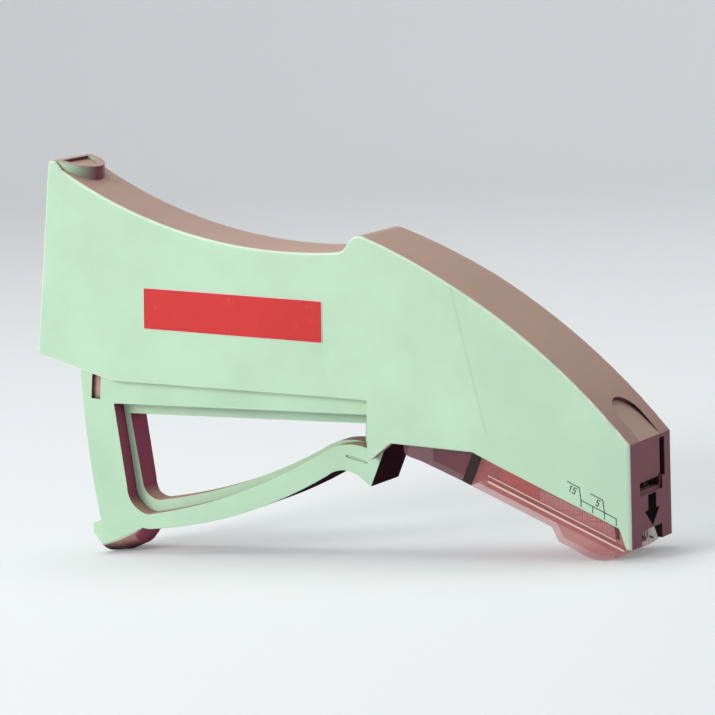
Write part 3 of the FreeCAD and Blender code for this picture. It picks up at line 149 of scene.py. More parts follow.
class StaplerSizes(bpy.types.PropertyGroup):
    """Sizes of the pieces and masks made here, given in millimetres and kept in metres."""

    flank_half: length_property("Flank", "From the middle plane to the handle's side", 8.7)
    nose_half: length_property("Nose", "From the middle plane to the nose's side", 11.2)
    flare_start: length_property("Flare start", "Behind the pivot, at its height", 10.0)
    flare_length: length_property("Flare length", "From the handle's width to the nose's", 37.6)
    flare_lean: angle_property("Flare lean", "Slant of the crease where the flare starts", 15.6)
    horn_foot: length_property("Horn foot", "Above the pivot, where the horn's pale cheeks begin", 49.5)
    rib_band: length_property("Rib band", "From the middle plane to the trigger's thin rib", 3.2)
    rim_band: length_property("Rim band", "From the middle plane to the trigger's rim", 6.3)
    edge_band: length_property("Edge band", "How far the side's tone goes round the edge", 0.45)
    toe_reach: length_property("Toe reach", "Behind the pivot, where the trigger's toe begins", 8.0)
    lever_reach: length_property("Lever reach", "Behind the pivot, where its shaded underside begins", 52.0)
    crease_width: length_property("Crease width", "Half width of the faint line where the flare ends", 0.5)
    crease_foot: length_property("Crease foot", "Above the pivot, where that line fades out", 0.8)
    bead_rear: length_property("Bead rear", "Rear end of the cover's beads, before the pivot", 26.0)
    bead_front: length_property("Bead front", "Front end of the cover's beads, before the pivot", 58.6)
    bead_width: length_property("Bead width", "Of the lower bead", 0.46)
    bead_drop: length_property("Bead drop", "From the crowns' line to the lower bead", 3.8)
    bead_step: length_property("Bead step", "From the lower bead up to the next", 1.3)
    # The dark step under the shells is a painted shadow
    bead_edge: length_property("Bead edge", "From the crowns' line up to the dark step under the shells", 1.2)
    bead_proud: length_property("Bead proud", "How far a bead stands off the cover", 0.06)
    stop_rear: length_property("Stop rear", "Of the bar before the staples, before the pivot", 56.2)
    stop_width: length_property("Stop width", "Of that bar", 0.9)
    stop_height: length_property("Stop height", "Of that bar", 3.4)
    front_x: length_property("Front", "Top of the front face, before the pivot", 60.9)
    front_top: length_property("Front top", "Top of the front face, above the pivot", 2.23)
    front_slope: FloatProperty(name="Front slope", description="Run of the front face for each unit down",
                               default=0.035)
    label_rear: length_property("Label rear", "Behind the pivot", 60.3)
    label_front: length_property("Label front", "Behind the pivot", 14.4)
    label_low: length_property("Label low", "Above the pivot", 18.4)
    label_high: length_property("Label high", "Above the pivot", 28.0)
    label_thickness: length_property("Label thickness", "Of the stuck plate", 0.10)
    label_border: length_property("Label border", "Width of its keyline", 0.22)
    print_height: length_property("Print height", "How far ink stands off the plastic", 0.03)
    line_width: length_property("Line width", "Of the printed scale", 0.21)
    staple_half: length_property("Staple half", "Half of an open staple's width", 6.0)
    staple_leg: length_property("Staple leg", "Length of its legs", 3.5)
    staple_wire: length_property("Staple wire", "Its diameter", 0.54)
    staple_bend: length_property("Staple bend", "Radius of its bends on the middle line", 0.55)
    staple_pitch: length_property("Staple pitch", "From one to the next, forward", 0.6)
    closed_share: FloatProperty(name="Closed share", description="Width of a closed staple to an open one's",
                                default=0.54, min=0.1, max=1, subtype="FACTOR")
    staples: IntProperty(name="Staples", description="Number in the stack", default=34, min=1)
    return_length: length_property("Return length", "Of the return spring at rest", 26.4)
    return_radius: length_property("Return radius", "Middle radius of the return spring", 3.7)
    feed_radius: length_property("Feed radius", "Middle radius of the feed spring", 1.3)
    feed_wire: length_property("Feed wire", "Diameter of the feed spring's wire", 0.35)
    feed_turns: IntProperty(name="Feed turns", description="Turns of the feed spring", default=11, min=3)
    return_wire: length_property("Return wire", "Diameter of the return spring's wire", 0.7)
    return_turns: IntProperty(name="Return turns", description="Turns of the return spring", default=7, min=3)


class StageSettings(bpy.types.PropertyGroup):
    """Camera, light and floor."""

    distance: FloatProperty(name="Distance", description="Camera to target", default=0.92, unit="LENGTH")
    azimuth: angle_property("Azimuth", "Camera's turn round the tool", 27.6)
    elevation: angle_property("Elevation", "Camera's height over the tool", 9.1)
    lens: FloatProperty(name="Lens", description="Focal length", default=208.0, unit="CAMERA")
    backdrop: colour_property("Backdrop", "Floor and wall", (0.80, 0.82, 0.83))
    glow: FloatProperty(name="Glow", description="How much brighter the backdrop looks than it is lit",
                        default=0.20, min=0)
    air: FloatProperty(name="Air", description="Strength of the light from all round", default=0.46, min=0)
    key_power: FloatProperty(name="Key light", description="Watts before the tool", default=8.2, min=0)
    top_power: FloatProperty(name="Top light", description="Watts over the tool", default=3.0, min=0)


def at(x, y, z):
    """A point of the tool's own frame, in the part's metres."""
    return TOOL @ Vector((x, y, z))


class Millimetres:
    """The sizes as the tool's own frame takes them; counts and shares stay as they are."""

    def __init__(self, group):
        self.group = group

    def __getattr__(self, name):
        value = getattr(self.group, name)
        is_length = self.group.bl_rna.properties[name].unit == "LENGTH"
        return value * 1000 if is_length else value


def settings():
    """The three groups of values."""
    scene = bpy.context.scene
    return scene.stapler_finish, Millimetres(scene.stapler_sizes), scene.stapler_stage


def flank(sizes, x, z):
    """Half width of the shells at a point of their side."""
    beyond = x + sizes.flare_start + z * math.tan(sizes.flare_lean)
    share = min(max(beyond / sizes.flare_length, 0), 1)
    return sizes.flank_half + share * (sizes.nose_half - sizes.flank_half)


# Shader groups, which several materials share

def value_node(tree, kind, **values):
    """A node with its plain properties set."""
    node = tree.nodes.new(kind)
    for name, value in values.items():
        setattr(node, name, value)
    return node


def new_group(name, inputs, outputs):
    """A shader node group with named sockets, and its two end nodes."""
    tree = bpy.data.node_groups.new(name, "ShaderNodeTree")
    for label, kind, value in inputs:
        socket = tree.interface.new_socket(label, in_out="INPUT", socket_type=kind)
        socket.default_value = value
    for label, kind in outputs:
        tree.interface.new_socket(label, in_out="OUTPUT", socket_type=kind)
    return tree, tree.nodes.new("NodeGroupInput"), tree.nodes.new("NodeGroupOutput")


def noise(tree, vector, scale, detail=3.0, roughness=0.55):
    """Noise over the piece's own coordinates; the value comes out."""
    node = value_node(tree, "ShaderNodeTexNoise")
    node.inputs["Scale"].default_value = scale
    node.inputs["Detail"].default_value = detail
    node.inputs["Roughness"].default_value = roughness
    tree.links.new(vector, node.inputs["Vector"])
    return node.outputs["Fac"]


def ramp(tree, source, low, high, to_low=0.0, to_high=1.0):
    """The source mapped from one range to another, and clamped."""
    node = value_node(tree, "ShaderNodeMapRange", clamp=True)
    for label, value in (("From Min", low), ("From Max", high), ("To Min", to_low), ("To Max", to_high)):
        node.inputs[label].default_value = value
    tree.links.new(source, node.inputs["Value"])
    return node.outputs["Result"]


def math_node(tree, operation, first, second=None):
    """One sum of two sockets or numbers."""
    node = value_node(tree, "ShaderNodeMath", operation=operation)
    for socket, value in zip(node.inputs, (first, second)):
        if isinstance(value, bpy.types.NodeSocket):
            tree.links.new(value, socket)
        elif value is not None:
            socket.default_value = value
    return node.outputs["Value"]


def times(tree, first, second):
    """Product of two sockets or numbers."""
    return math_node(tree, "MULTIPLY", first, second)


def mix_colour(tree, factor, first, second):
    """Two colours mixed by a factor."""
    node = value_node(tree, "ShaderNodeMix", data_type="RGBA")
    for label, value in (("Factor", factor), ("A", first), ("B", second)):
        socket = node.inputs[label]
        if isinstance(value, bpy.types.NodeSocket):
            tree.links.new(value, socket)
        else:
            socket.default_value = value
    return node.outputs["Result"]


def parts_of(tree, vector):
    """The three parts of a vector, by the name of their axis."""
    split = value_node(tree, "ShaderNodeSeparateXYZ")
    tree.links.new(vector, split.inputs["Vector"])
    return split.outputs


def magnitude(tree, vector, axis):
    """Size of one part of a vector."""
    return math_node(tree, "ABSOLUTE", parts_of(tree, vector)[axis])


def broad_group():
    """Masks of the trigger: broad sides without the grooves' floors, faces with painted shade, and side edges
    with painted highlight.
    """
    _, sizes, _ = settings()
    outputs = [(label, FLOAT) for label in ("Side Mask", "Hollow", "Border")]
    tree, _, end = new_group("Broad sides", [], outputs)
    where = value_node(tree, "ShaderNodeTexCoord")
    sideways = ramp(tree, magnitude(tree, where.outputs["Normal"], "Y"), 0.5, 0.85)
    away = magnitude(tree, where.outputs["Object"], "Y")
    rib = math_node(tree, "LESS_THAN", away, sizes.rib_band / 1000)
    rim = math_node(tree, "GREATER_THAN", away, sizes.rim_band / 1000)
    broad = math_node(tree, "MAXIMUM", rib, rim)
    tree.links.new(times(tree, sideways, broad), end.inputs["Side Mask"])
    # Painted shade: the toe's forward faces and the lever's underside
    ahead = distance_along(tree, where, TURNED @ Vector((1, 0, 0)))
    toe = math_node(tree, "GREATER_THAN", ahead, -sizes.toe_reach / 1000)
    looks = parts_of(tree, where.outputs["Normal"])
    forward = ramp(tree, looks["X"], 0.4, 0.8)
    lever = math_node(tree, "GREATER_THAN", ahead, -sizes.lever_reach / 1000)
    under = ramp(tree, looks["Z"], -0.75, -0.4, 1.0, 0.0)
    shaded = math_node(tree, "MAXIMUM", times(tree, toe, forward), times(tree, lever, under))
    tree.links.new(shaded, end.inputs["Hollow"])
    # Painted highlight on the rim's rounded side edges
    turning = times(tree, sideways, math_node(tree, "SUBTRACT", 1.0, sideways))
    border = times(tree, turning, EDGE_HIGHLIGHT_STRENGTH)
    tree.links.new(times(tree, border, rim), end.inputs["Border"])
    return tree


def distance_along(tree, where, direction):
    """How far a point lies from the trigger's pivot along a direction."""
    along = value_node(tree, "ShaderNodeVectorMath", operation="DOT_PRODUCT")
    along.inputs[1].default_value = direction
    tree.links.new(where.outputs["Object"], along.inputs[0])
    return math_node(tree, "SUBTRACT", along.outputs["Value"], PIVOT.dot(direction))


def outer_group():
    """Masks of the shells: flared outer sides, inner side walls with painted shade, a painted shade line at
    the crease, and rounded edges with painted highlight.
    """
    _, sizes, _ = settings()
    outputs = [(label, FLOAT) for label in ("Side Mask", "Hollow", "Line", "Border")]
    tree, _, end = new_group("Outer sides", [], outputs)
    where = value_node(tree, "ShaderNodeTexCoord")
    slant = TURNED @ Vector((1, 0, math.tan(sizes.flare_lean)))
    height, along = (distance_along(tree, where, direction) for direction in (-DOWN, slant))
    begin = -sizes.flare_start / 1000
    half = ramp(tree, along, begin, begin + sizes.flare_length / 1000,
                sizes.flank_half / 1000, sizes.nose_half / 1000)
    inside = math_node(tree, "SUBTRACT", half, magnitude(tree, where.outputs["Object"], "Y"))
    band = sizes.edge_band / 1000
    outer = ramp(tree, inside, band * 0.7, band * 1.3, 1.0, 0.0)
    # Painted highlight in a band round the shells' rounded edges
    begun = ramp(tree, inside, band * 0.1, band * 0.35)
    ended = ramp(tree, inside, band, band * 1.5, 1.0, 0.0)
    tree.links.new(times(tree, begun, ended), end.inputs["Border"])
    horn = math_node(tree, "GREATER_THAN", height, sizes.horn_foot / 1000)
    sideways = magnitude(tree, where.outputs["Normal"], "Y")
    cheek = times(tree, horn, ramp(tree, sideways, 0.15, 0.95))
    tree.links.new(math_node(tree, "MAXIMUM", outer, cheek), end.inputs["Side Mask"])
    # Painted shade on inner side walls
    tree.links.new(ramp(tree, sideways, 0.5, 0.85), end.inputs["Hollow"])
    # Painted shade: a faint line where the flare ends
    off = math_node(tree, "ABSOLUTE", math_node(tree, "SUBTRACT", along, begin + sizes.flare_length / 1000))
    line = ramp(tree, off, 0.0, sizes.crease_width / 1000, 1.0, 0.0)
    low = sizes.crease_foot / 1000
    line = times(tree, line, outer)
    tree.links.new(times(tree, line, ramp(tree, height, low, low + CREASE_FADE)), end.inputs["Line"])
    return tree


def moulded_group():
    """Moulded plastic: mottling, spark texture, scuffs, round edges, painted highlight on the edges, and
    painted shade on narrow and hidden faces.
    """
    tree, start, end = new_group("Moulded plastic", [
        ("Side Mask", FLOAT, 1.0),
        ("Hollow", FLOAT, 0.0),
        ("Line", FLOAT, 0.0),
        ("Border", FLOAT, 0.0),
        ("Flank", COLOUR, (0.5, 0.7, 0.5, 1)),
        ("Rim", COLOUR, (0.4, 0.3, 0.3, 1)),
        ("Edge", COLOUR, (0.8, 0.8, 0.7, 1)),
        ("Shade", COLOUR, (0.2, 0.1, 0.1, 1)),
        ("Crease", COLOUR, (0.1, 0.05, 0.05, 1)),
        ("Mottle", FLOAT, 0.05),
        ("Roughness", FLOAT, 0.42),
        ("Wear", FLOAT, 0.08),
        ("Edge Radius", FLOAT, 0.0003),
    ], SURFACE)
    where = value_node(tree, "ShaderNodeTexCoord")
    looks = parts_of(tree, where.outputs["Normal"])
    # Painted shade: a face is painted in the shade tone as far as it looks forward, and less so where it
    # looks up
    upward = times(tree, looks["Z"], 0.425)
    level = times(tree, math_node(tree, "ABSOLUTE", looks["Z"]), 0.175)
    away = math_node(tree, "SUBTRACT", looks["X"], math_node(tree, "ADD", upward, level))
    narrow = mix_colour(tree, ramp(tree, away, 0.25, 0.75), start.outputs["Rim"], start.outputs["Shade"])
    # Painted shade: faces that the hollow mask marks take the crease tone
    narrow = mix_colour(tree, start.outputs["Hollow"], narrow, start.outputs["Crease"])
    backward = ramp(tree, looks["X"], -0.8, -0.4, 1.0, 0.0)
    side = math_node(tree, "MAXIMUM", start.outputs["Side Mask"], backward)
    base = mix_colour(tree, side, narrow, start.outputs["Flank"])
    rest = math_node(tree, "SUBTRACT", 1.0, side)
    # Painted shade: slots and corners away from the sides darken towards the crease tone
    cover = value_node(tree, "ShaderNodeAmbientOcclusion", samples=6)
    cover.inputs["Distance"].default_value = SLOT_DEPTH
    deep = times(tree, ramp(tree, cover.outputs["AO"], 0.15, 0.8, 0.92, 0.0), rest)
    shaded_and_highlighted = mix_colour(tree, deep, base, start.outputs["Crease"])
    # Painted highlight: rounded edges take the edge tone
    shaded_and_highlighted = mix_colour(tree, start.outputs["Border"], shaded_and_highlighted, start.outputs["Edge"])
    cloud = noise(tree, where.outputs["Object"], 55, 4.0)
    lift = math_node(tree, "MULTIPLY_ADD", ramp(tree, cloud, 0.3, 0.7, -1.0, 1.0), start.outputs["Mottle"])
    lift.node.inputs[2].default_value = 1.0
    toned = value_node(tree, "ShaderNodeHueSaturation")
    # Painted shade: the faint line darkens the colour
    faint = times(tree, start.outputs["Line"], CREASE_SHADE_STRENGTH)
    tree.links.new(math_node(tree, "SUBTRACT", lift, faint), toned.inputs["Value"])
    tree.links.new(shaded_and_highlighted, toned.inputs["Color"])
    scuff = ramp(tree, noise(tree, where.outputs["Object"], 420, 6.0, 0.7), 0.62, 0.74)
    worn = mix_colour(tree, times(tree, scuff, start.outputs["Wear"]), toned.outputs["Color"], SCUFF_TONE)
    tree.links.new(worn, end.inputs["Color"])
    rough = math_node(tree, "ADD", start.outputs["Roughness"], ramp(tree, cloud, 0.3, 0.7, -0.04, 0.04))
    tree.links.new(math_node(tree, "ADD", rough, times(tree, scuff, 0.12)), end.inputs["Roughness"])
    edge = value_node(tree, "ShaderNodeBevel", samples=4)
    tree.links.new(start.outputs["Edge Radius"], edge.inputs["Radius"])
    bump = value_node(tree, "ShaderNodeBump")
    bump.inputs["Strength"].default_value = 0.35
    bump.inputs["Distance"].default_value = 0.00002
    tree.links.new(noise(tree, where.outputs["Object"], 3200, 2.0), bump.inputs["Height"])
    tree.links.new(edge.outputs["Normal"], bump.inputs["Normal"])
    tree.links.new(bump.outputs["Normal"], end.inputs["Normal"])
    return tree


def metal_group():
    """Drawn or stamped steel: fine lines along one axis, with a little tarnish."""
    tree, start, end = new_group("Worked steel", [
        ("Steel", COLOUR, (0.5, 0.5, 0.5, 1)),
        ("Line Scale", FLOAT, 1800.0),
        ("Tarnish", FLOAT, 0.25),
    ], SURFACE)
    where = value_node(tree, "ShaderNodeTexCoord")
    stretch = value_node(tree, "ShaderNodeMapping")
    stretch.inputs["Scale"].default_value = (0.06, 1.0, 1.0)
    tree.links.new(where.outputs["Object"], stretch.inputs["Vector"])
    lines = value_node(tree, "ShaderNodeTexNoise")
    lines.inputs["Detail"].default_value = 2.0
    tree.links.new(stretch.outputs["Vector"], lines.inputs["Vector"])
    tree.links.new(start.outputs["Line Scale"], lines.inputs["Scale"])
    cloud = noise(tree, where.outputs["Object"], 300, 4.0)
    dull = times(tree, ramp(tree, cloud, 0.45, 0.7), start.outputs["Tarnish"])
    tree.links.new(mix_colour(tree, dull, start.outputs["Steel"], TARNISH_TONE), end.inputs["Color"])
    tree.links.new(ramp(tree, lines.outputs["Fac"], 0.3, 0.7, 0.22, 0.38), end.inputs["Roughness"])
    bump = value_node(tree, "ShaderNodeBump")
    bump.inputs["Strength"].default_value = 0.15
    bump.inputs["Distance"].default_value = 0.00001
    tree.links.new(lines.outputs["Fac"], bump.inputs["Height"])
    tree.links.new(bump.outputs["Normal"], end.inputs["Normal"])
    return tree


def shared_group(name, maker):
    """The group of that name, made the first time that it is asked for."""
    return bpy.data.node_groups.get(name) or maker()


def material_from(name, group, inputs, principled):
    """A material whose shader takes colour, roughness and normal from one shared group."""
    material = bpy.data.materials.new(name)
    material.use_nodes = True
    tree = material.node_tree
    shader = tree.nodes["Principled BSDF"]
    node = tree.nodes.new("ShaderNodeGroup")
    node.node_tree = group
    for label, value in inputs.items():
        node.inputs[label].default_value = value
    for label, target in (("Color", "Base Color"), ("Roughness", "Roughness"), ("Normal", "Normal")):
        tree.links.new(node.outputs[label], shader.inputs[target])
    for label, value in principled.items():
        shader.inputs[label].default_value = value
    return material


def plastic(name, colour, sides=None, mottle=0.05, roughness=0.42, wear=0.08, shade=None, **principled):
    """Moulded plastic of one colour with painted shade in its slots, or with painted highlight on its edges
    and painted shade in its rim, shade and crease tones outside the given mask.
    """
    finish, _, _ = settings()
    # Painted shade: a one-colour plastic darkens in its slots to 0.4 of its colour
    deep = [part * 0.4 for part in colour]
    shade = shade or finish.shade
    tones = (finish.edge, finish.rim, shade, finish.crease) if sides else (colour, colour, colour, deep)
    inputs = {"Flank": (*colour, 1), "Mottle": mottle, "Roughness": roughness, "Wear": wear}
    for label, tone in zip(("Edge", "Rim", "Shade", "Crease"), tones):
        inputs[label] = (*tone, 1)
    material = material_from(name, shared_group("Moulded plastic", moulded_group), inputs, principled)
    if sides:
        tree = material.node_tree
        mask = tree.nodes.new("ShaderNodeGroup")
        mask.node_tree = sides
        moulded = next(node for node in tree.nodes if node.type == "GROUP" and node != mask)
        for socket in mask.outputs:
            tree.links.new(socket, moulded.inputs[socket.name])
    return material


def gloss(level):
    """How strongly a plastic mirrors, as the shader's own socket takes it."""
    return {"Specular IOR Level": level}


def steel(name, colour, tarnish=0.25, metallic=1.0):
    """Bare worked steel."""
    inputs = {"Steel": (*colour, 1), "Tarnish": tarnish}
    return material_from(name, shared_group("Worked steel", metal_group), inputs, {"Metallic": metallic})


def dress(node, material):
    """Give a piece of the frame its finish."""
    piece = frame["nodes"][node]
    piece.data.materials.clear()
    piece.data.materials.append(material)


def finished(piece, body, material=None):
    """Link a new piece, and tie it to its body."""
    if piece.name not in bpy.context.scene.collection.objects:
        bpy.context.scene.collection.objects.link(piece)
    if material:
        piece.data.materials.clear()
        piece.data.materials.append(material)
    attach(piece, body)
    return piece


# Small flat prints and plates

def prism(made, rings):
    """A closed solid between two rings of points."""
    rings = [[made.verts.new(place) for place in ring] for ring in rings]
    for ring in rings:
        made.faces.new(ring)
    for i in range(len(rings[0])):
        j = (i + 1) % len(rings[0])
        made.faces.new((rings[0][i], rings[0][j], rings[1][j], rings[1][i]))


def piece_of(name, made):
    """A new piece with what was made, its normals outward."""
    bmesh.ops.recalc_face_normals(made, faces=made.faces)
    mesh = bpy.data.meshes.new(name)
    made.to_mesh(mesh)
    made.free()
    return bpy.data.objects.new(name, mesh)


def print_on_side(name, outlines, sizes, height, depth=0.01):
    """Thin closed plates on the near side, which follow its flare; each outline is a list of (x, z)."""
    made = bmesh.new()
    for corners in outlines:
        made.faces.new([made.verts.new((x, 0, z)) for x, z in corners])
    crease = Vector((-sizes.flare_start, 0, 0))
    across = Vector((1, 0, math.tan(sizes.flare_lean)))
    bmesh.ops.bisect_plane(made, geom=made.verts[:] + made.edges[:] + made.faces[:],
                           plane_co=crease, plane_no=across)
    bmesh.ops.triangulate(made, faces=made.faces)
    back = bmesh.ops.duplicate(made, geom=made.verts[:] + made.edges[:] + made.faces[:])
    behind = {item for item in back["geom"] if isinstance(item, bmesh.types.BMVert)}
    rims = [edge for edge in made.edges if edge.is_boundary and edge.verts[0] not in behind]
    twin = back["vert_map"]
    for edge in rims:
        first, last = edge.verts
        made.faces.new((first, last, twin[last], twin[first]))
    for vert in made.verts:
        out = -depth if vert in behind else height
        vert.co = at(vert.co.x, -flank(sizes, vert.co.x, vert.co.z) - out, vert.co.z)
    return piece_of(name, made)


def stroke(start, end, width):
    """The four corners of a printed line."""
    along = (Vector(end) - Vector(start)).normalized() * (width / 2)
    across = Vector((-along.y, along.x))
    first, last = Vector(start) - along, Vector(end) + along
    return [tuple(first - across), tuple(last - across), tuple(last + across), tuple(first + across)]


def rounded(x0, x1, z0, z1, radius, steps=5):
    """The corners of a rectangle with round corners."""
    points = []
    for cx, cz, start in ((x1 - radius, z0 + radius, -90), (x1 - radius, z1 - radius, 0),
                          (x0 + radius, z1 - radius, 90), (x0 + radius, z0 + radius, 180)):
        for step in range(steps + 1):
            angle = math.radians(start + 90 * step / steps)
            points.append((cx + radius * math.cos(angle), cz + radius * math.sin(angle)))
    return points


class STAPLER_OT_shells(bpy.types.Operator):
    """Finish the two shells and the trigger in moulded plastic."""

    bl_idname = "stapler.shells"
    bl_label = "Shells and trigger"

    def execute(self, context):
        finish, _, _ = settings()
        shell = plastic("shell_plastic", finish.flank, shared_group("Outer sides", outer_group), **gloss(0.2))
        lever = plastic("trigger_plastic", finish.flank, shared_group("Broad sides", broad_group),
                        mottle=0.06, shade=finish.lever_shade, **gloss(0.0))
        for node in ("casing_left", "casing_right"):
            dress(node, shell)
        dress("trigger", lever)
        return {"FINISHED"}


class STAPLER_OT_mechanism(bpy.types.Operator):
    """Finish the steels and the slide of the inner works."""

    bl_idname = "stapler.mechanism"
    bl_label = "Inner works"

    def execute(self, context):
        finish, _, _ = settings()
        bright = steel("bright_steel", finish.steel)
        for node in ("pivot_pin", "drive_pin", "former_blade", "staple_rail", "feed_rod"):
            dress(node, bright)
        dress("ejector_spring", steel("leaf_steel", finish.spring, tarnish=0.35))
        dress("driver_block", plastic("slide_plastic", finish.slide, mottle=0.08))
        return {"FINISHED"}


class STAPLER_OT_magazine(bpy.types.Operator):
    """Finish the clear cover and tail, the collar, the track and the follower."""

    bl_idname = "stapler.magazine"
    bl_label = "Magazine"

    def execute(self, context):
        finish, _, _ = settings()
        clear = plastic("clear_plastic", finish.clear, mottle=0.10, roughness=0.12, wear=0.0,
                        Alpha=0.38, IOR=1.55)
        deep = plastic("tail_plastic", finish.tail, mottle=0.15, roughness=0.15, wear=0.0,
                       Alpha=0.74, IOR=1.55)
        for node, material in (("magazine_cover", clear), ("magazine_tail", deep)):
            material.surface_render_method = "DITHERED"
            dress(node, material)
        # The collar is a real bulkhead; its near black is partly painted shade
        dark = plastic("collar_plastic", finish.collar, mottle=0.12, **gloss(0.25))
        for node in ("magazine_collar", "spring_plug"):
            dress(node, dark)
        dress("magazine_track", plastic("track_plastic", finish.track, mottle=0.10))
        dress("pusher", plastic("follower_plastic", finish.follower, mottle=0.08))
        return {"FINISHED"}


def staple_tree():
    """Node tree that rounds a staple's middle line, gives it its wire, and repeats it along the rail."""
    tree = bpy.data.node_groups.new("Staples in a row", "GeometryNodeTree")
    face = tree.interface
    face.new_socket("Geometry", in_out="INPUT", socket_type="NodeSocketGeometry")
    for label, kind, value in (("Wire Radius", FLOAT, 0.00027), ("Bend Radius", FLOAT, 0.0005),
                               ("Count", "NodeSocketInt", 1), ("Step", "NodeSocketVector", (0, 0, 0))):
        face.new_socket(label, in_out="INPUT", socket_type=kind).default_value = value
    face.new_socket("Material", in_out="INPUT", socket_type="NodeSocketMaterial")
    face.new_socket("Geometry", in_out="OUTPUT", socket_type="NodeSocketGeometry")
    add = tree.nodes.new
    link = tree.links.new
    start, end = add("NodeGroupInput"), add("NodeGroupOutput")
    line = add("GeometryNodeMeshToCurve")
    bent = add("GeometryNodeFilletCurve")
    bent.mode = "POLY"
    bent.inputs["Count"].default_value = 4
    ring = add("GeometryNodeCurvePrimitiveCircle")
    ring.inputs["Resolution"].default_value = 10
    wire = add("GeometryNodeCurveToMesh")
    wire.inputs["Fill Caps"].default_value = True
    row = add("GeometryNodeMeshLine")
    copies = add("GeometryNodeInstanceOnPoints")
    real = add("GeometryNodeRealizeInstances")
    painted = add("GeometryNodeSetMaterial")
    link(start.outputs["Geometry"], line.inputs["Mesh"])
    link(line.outputs["Curve"], bent.inputs["Curve"])
    link(start.outputs["Bend Radius"], bent.inputs["Radius"])
    link(bent.outputs["Curve"], wire.inputs["Curve"])
    link(start.outputs["Wire Radius"], ring.inputs["Radius"])
    link(ring.outputs["Curve"], wire.inputs["Profile Curve"])
    link(start.outputs["Count"], row.inputs["Count"])
    link(start.outputs["Step"], row.inputs["Offset"])
    link(row.outputs["Mesh"], copies.inputs["Points"])
    link(wire.outputs["Mesh"], copies.inputs["Instance"])
    link(copies.outputs["Instances"], real.inputs["Geometry"])
    link(real.outputs["Geometry"], painted.inputs["Geometry"])
    link(start.outputs["Material"], painted.inputs["Material"])
    link(painted.outputs["Geometry"], end.inputs["Geometry"])
    return tree


def plain_mesh(piece, name):
    """The evaluated piece as a plain object of its own; the source goes."""
    shape = bpy.data.meshes.new_from_object(piece.evaluated_get(bpy.context.evaluated_depsgraph_get()))
    bpy.data.objects.remove(piece)
    shape.name = name
    for polygon in shape.polygons:
        polygon.use_smooth = True
    shape.set_sharp_from_angle(angle=math.radians(40))
    return bpy.data.objects.new(name, shape)


class STAPLER_OT_staples(bpy.types.Operator):
    """Make the stack's staples and the one under the blade, of round wire."""

    bl_idname = "stapler.staples"
    bl_label = "Staples"

    def execute(self, context):
        finish, sizes, _ = settings()
        metal = steel("staple_steel", finish.wire, tarnish=0.10, metallic=0.6)
        tree = staple_tree()
        low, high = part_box("loaded_staple")
        front = TOOL.inverted() @ ((low + high) / 2)
        slope = math.asin(-(TURNED.inverted() @ Vector(JOINTS["pusher_slide"]["axis"])).z)
        rise = sizes.staple_pitch * math.tan(slope)
        step = TURNED @ Vector((-sizes.staple_pitch, 0, rise)) / 1000
        half = sizes.staple_half - sizes.staple_wire / 2
        top = front.z + (sizes.staple_leg - sizes.staple_wire) / 2
        foot = top - sizes.staple_leg + sizes.staple_wire / 2
        for name, count, first, node in (("staple_ready", 1, 0, "loaded_staple"),
                                         ("staple_row", sizes.staples, 1, "staple_stack")):
            mesh = bpy.data.meshes.new(name)
            corners = [(-half, foot), (-half, top), (half, top), (half, foot)]
            mesh.from_pydata([at(front.x, y, z) + first * step for y, z in corners],
                             [(0, 1), (1, 2), (2, 3)], [])
            draft = bpy.data.objects.new(name + "_line", mesh)
            context.scene.collection.objects.link(draft)
            modifier = draft.modifiers.new("Staples", "NODES")
            modifier.node_group = tree
            values = {"Wire Radius": sizes.staple_wire / 2000, "Bend Radius": sizes.staple_bend / 1000,
                      "Count": count, "Step": tuple(step), "Material": metal}
            for item in tree.interface.items_tree:
                if item.in_out == "INPUT" and item.name in values:
                    modifier[item.identifier] = values[item.name]
            piece = finished(plain_mesh(draft, name), "casing")
            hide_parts(node)
            if count == 1:
                sizes.closed_share
                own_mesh(piece)
        return {"FINISHED"}


def spring_points(radius, wire, turns, length, steps=24):
    """Middle line of a compression spring with closed end turns, along Z from 0 to its length."""
    lead = wire * 1.1
    pitch = (length - wire - 2 * lead) / (turns - 2)
    points = []
    for step in range(turns * steps + 1):
        turn = step / steps
        ends = min(turn, 1) + max(turn - (turns - 1), 0)
        height = wire / 2 + ends * lead + min(max(turn - 1, 0), turns - 2) * pitch
        angle = 2 * math.pi * turn
        points.append(Vector((radius * math.cos(angle), radius * math.sin(angle), height)))
    return points


def wire_piece(name, points, wire):
    """A round wire along the points, with closed ends."""
    curve = bpy.data.curves.new(name, "CURVE")
    curve.dimensions = "3D"
    spline = curve.splines.new("POLY")
    spline.points.add(len(points) - 1)
    for point, place in zip(spline.points, points):
        point.co = (*place, 1)
    curve.bevel_depth = wire / 2
    curve.bevel_resolution = 3
    curve.use_fill_caps = True
    draft = bpy.data.objects.new(name + "_line", curve)
    bpy.context.scene.collection.objects.link(draft)
    return plain_mesh(draft, name)


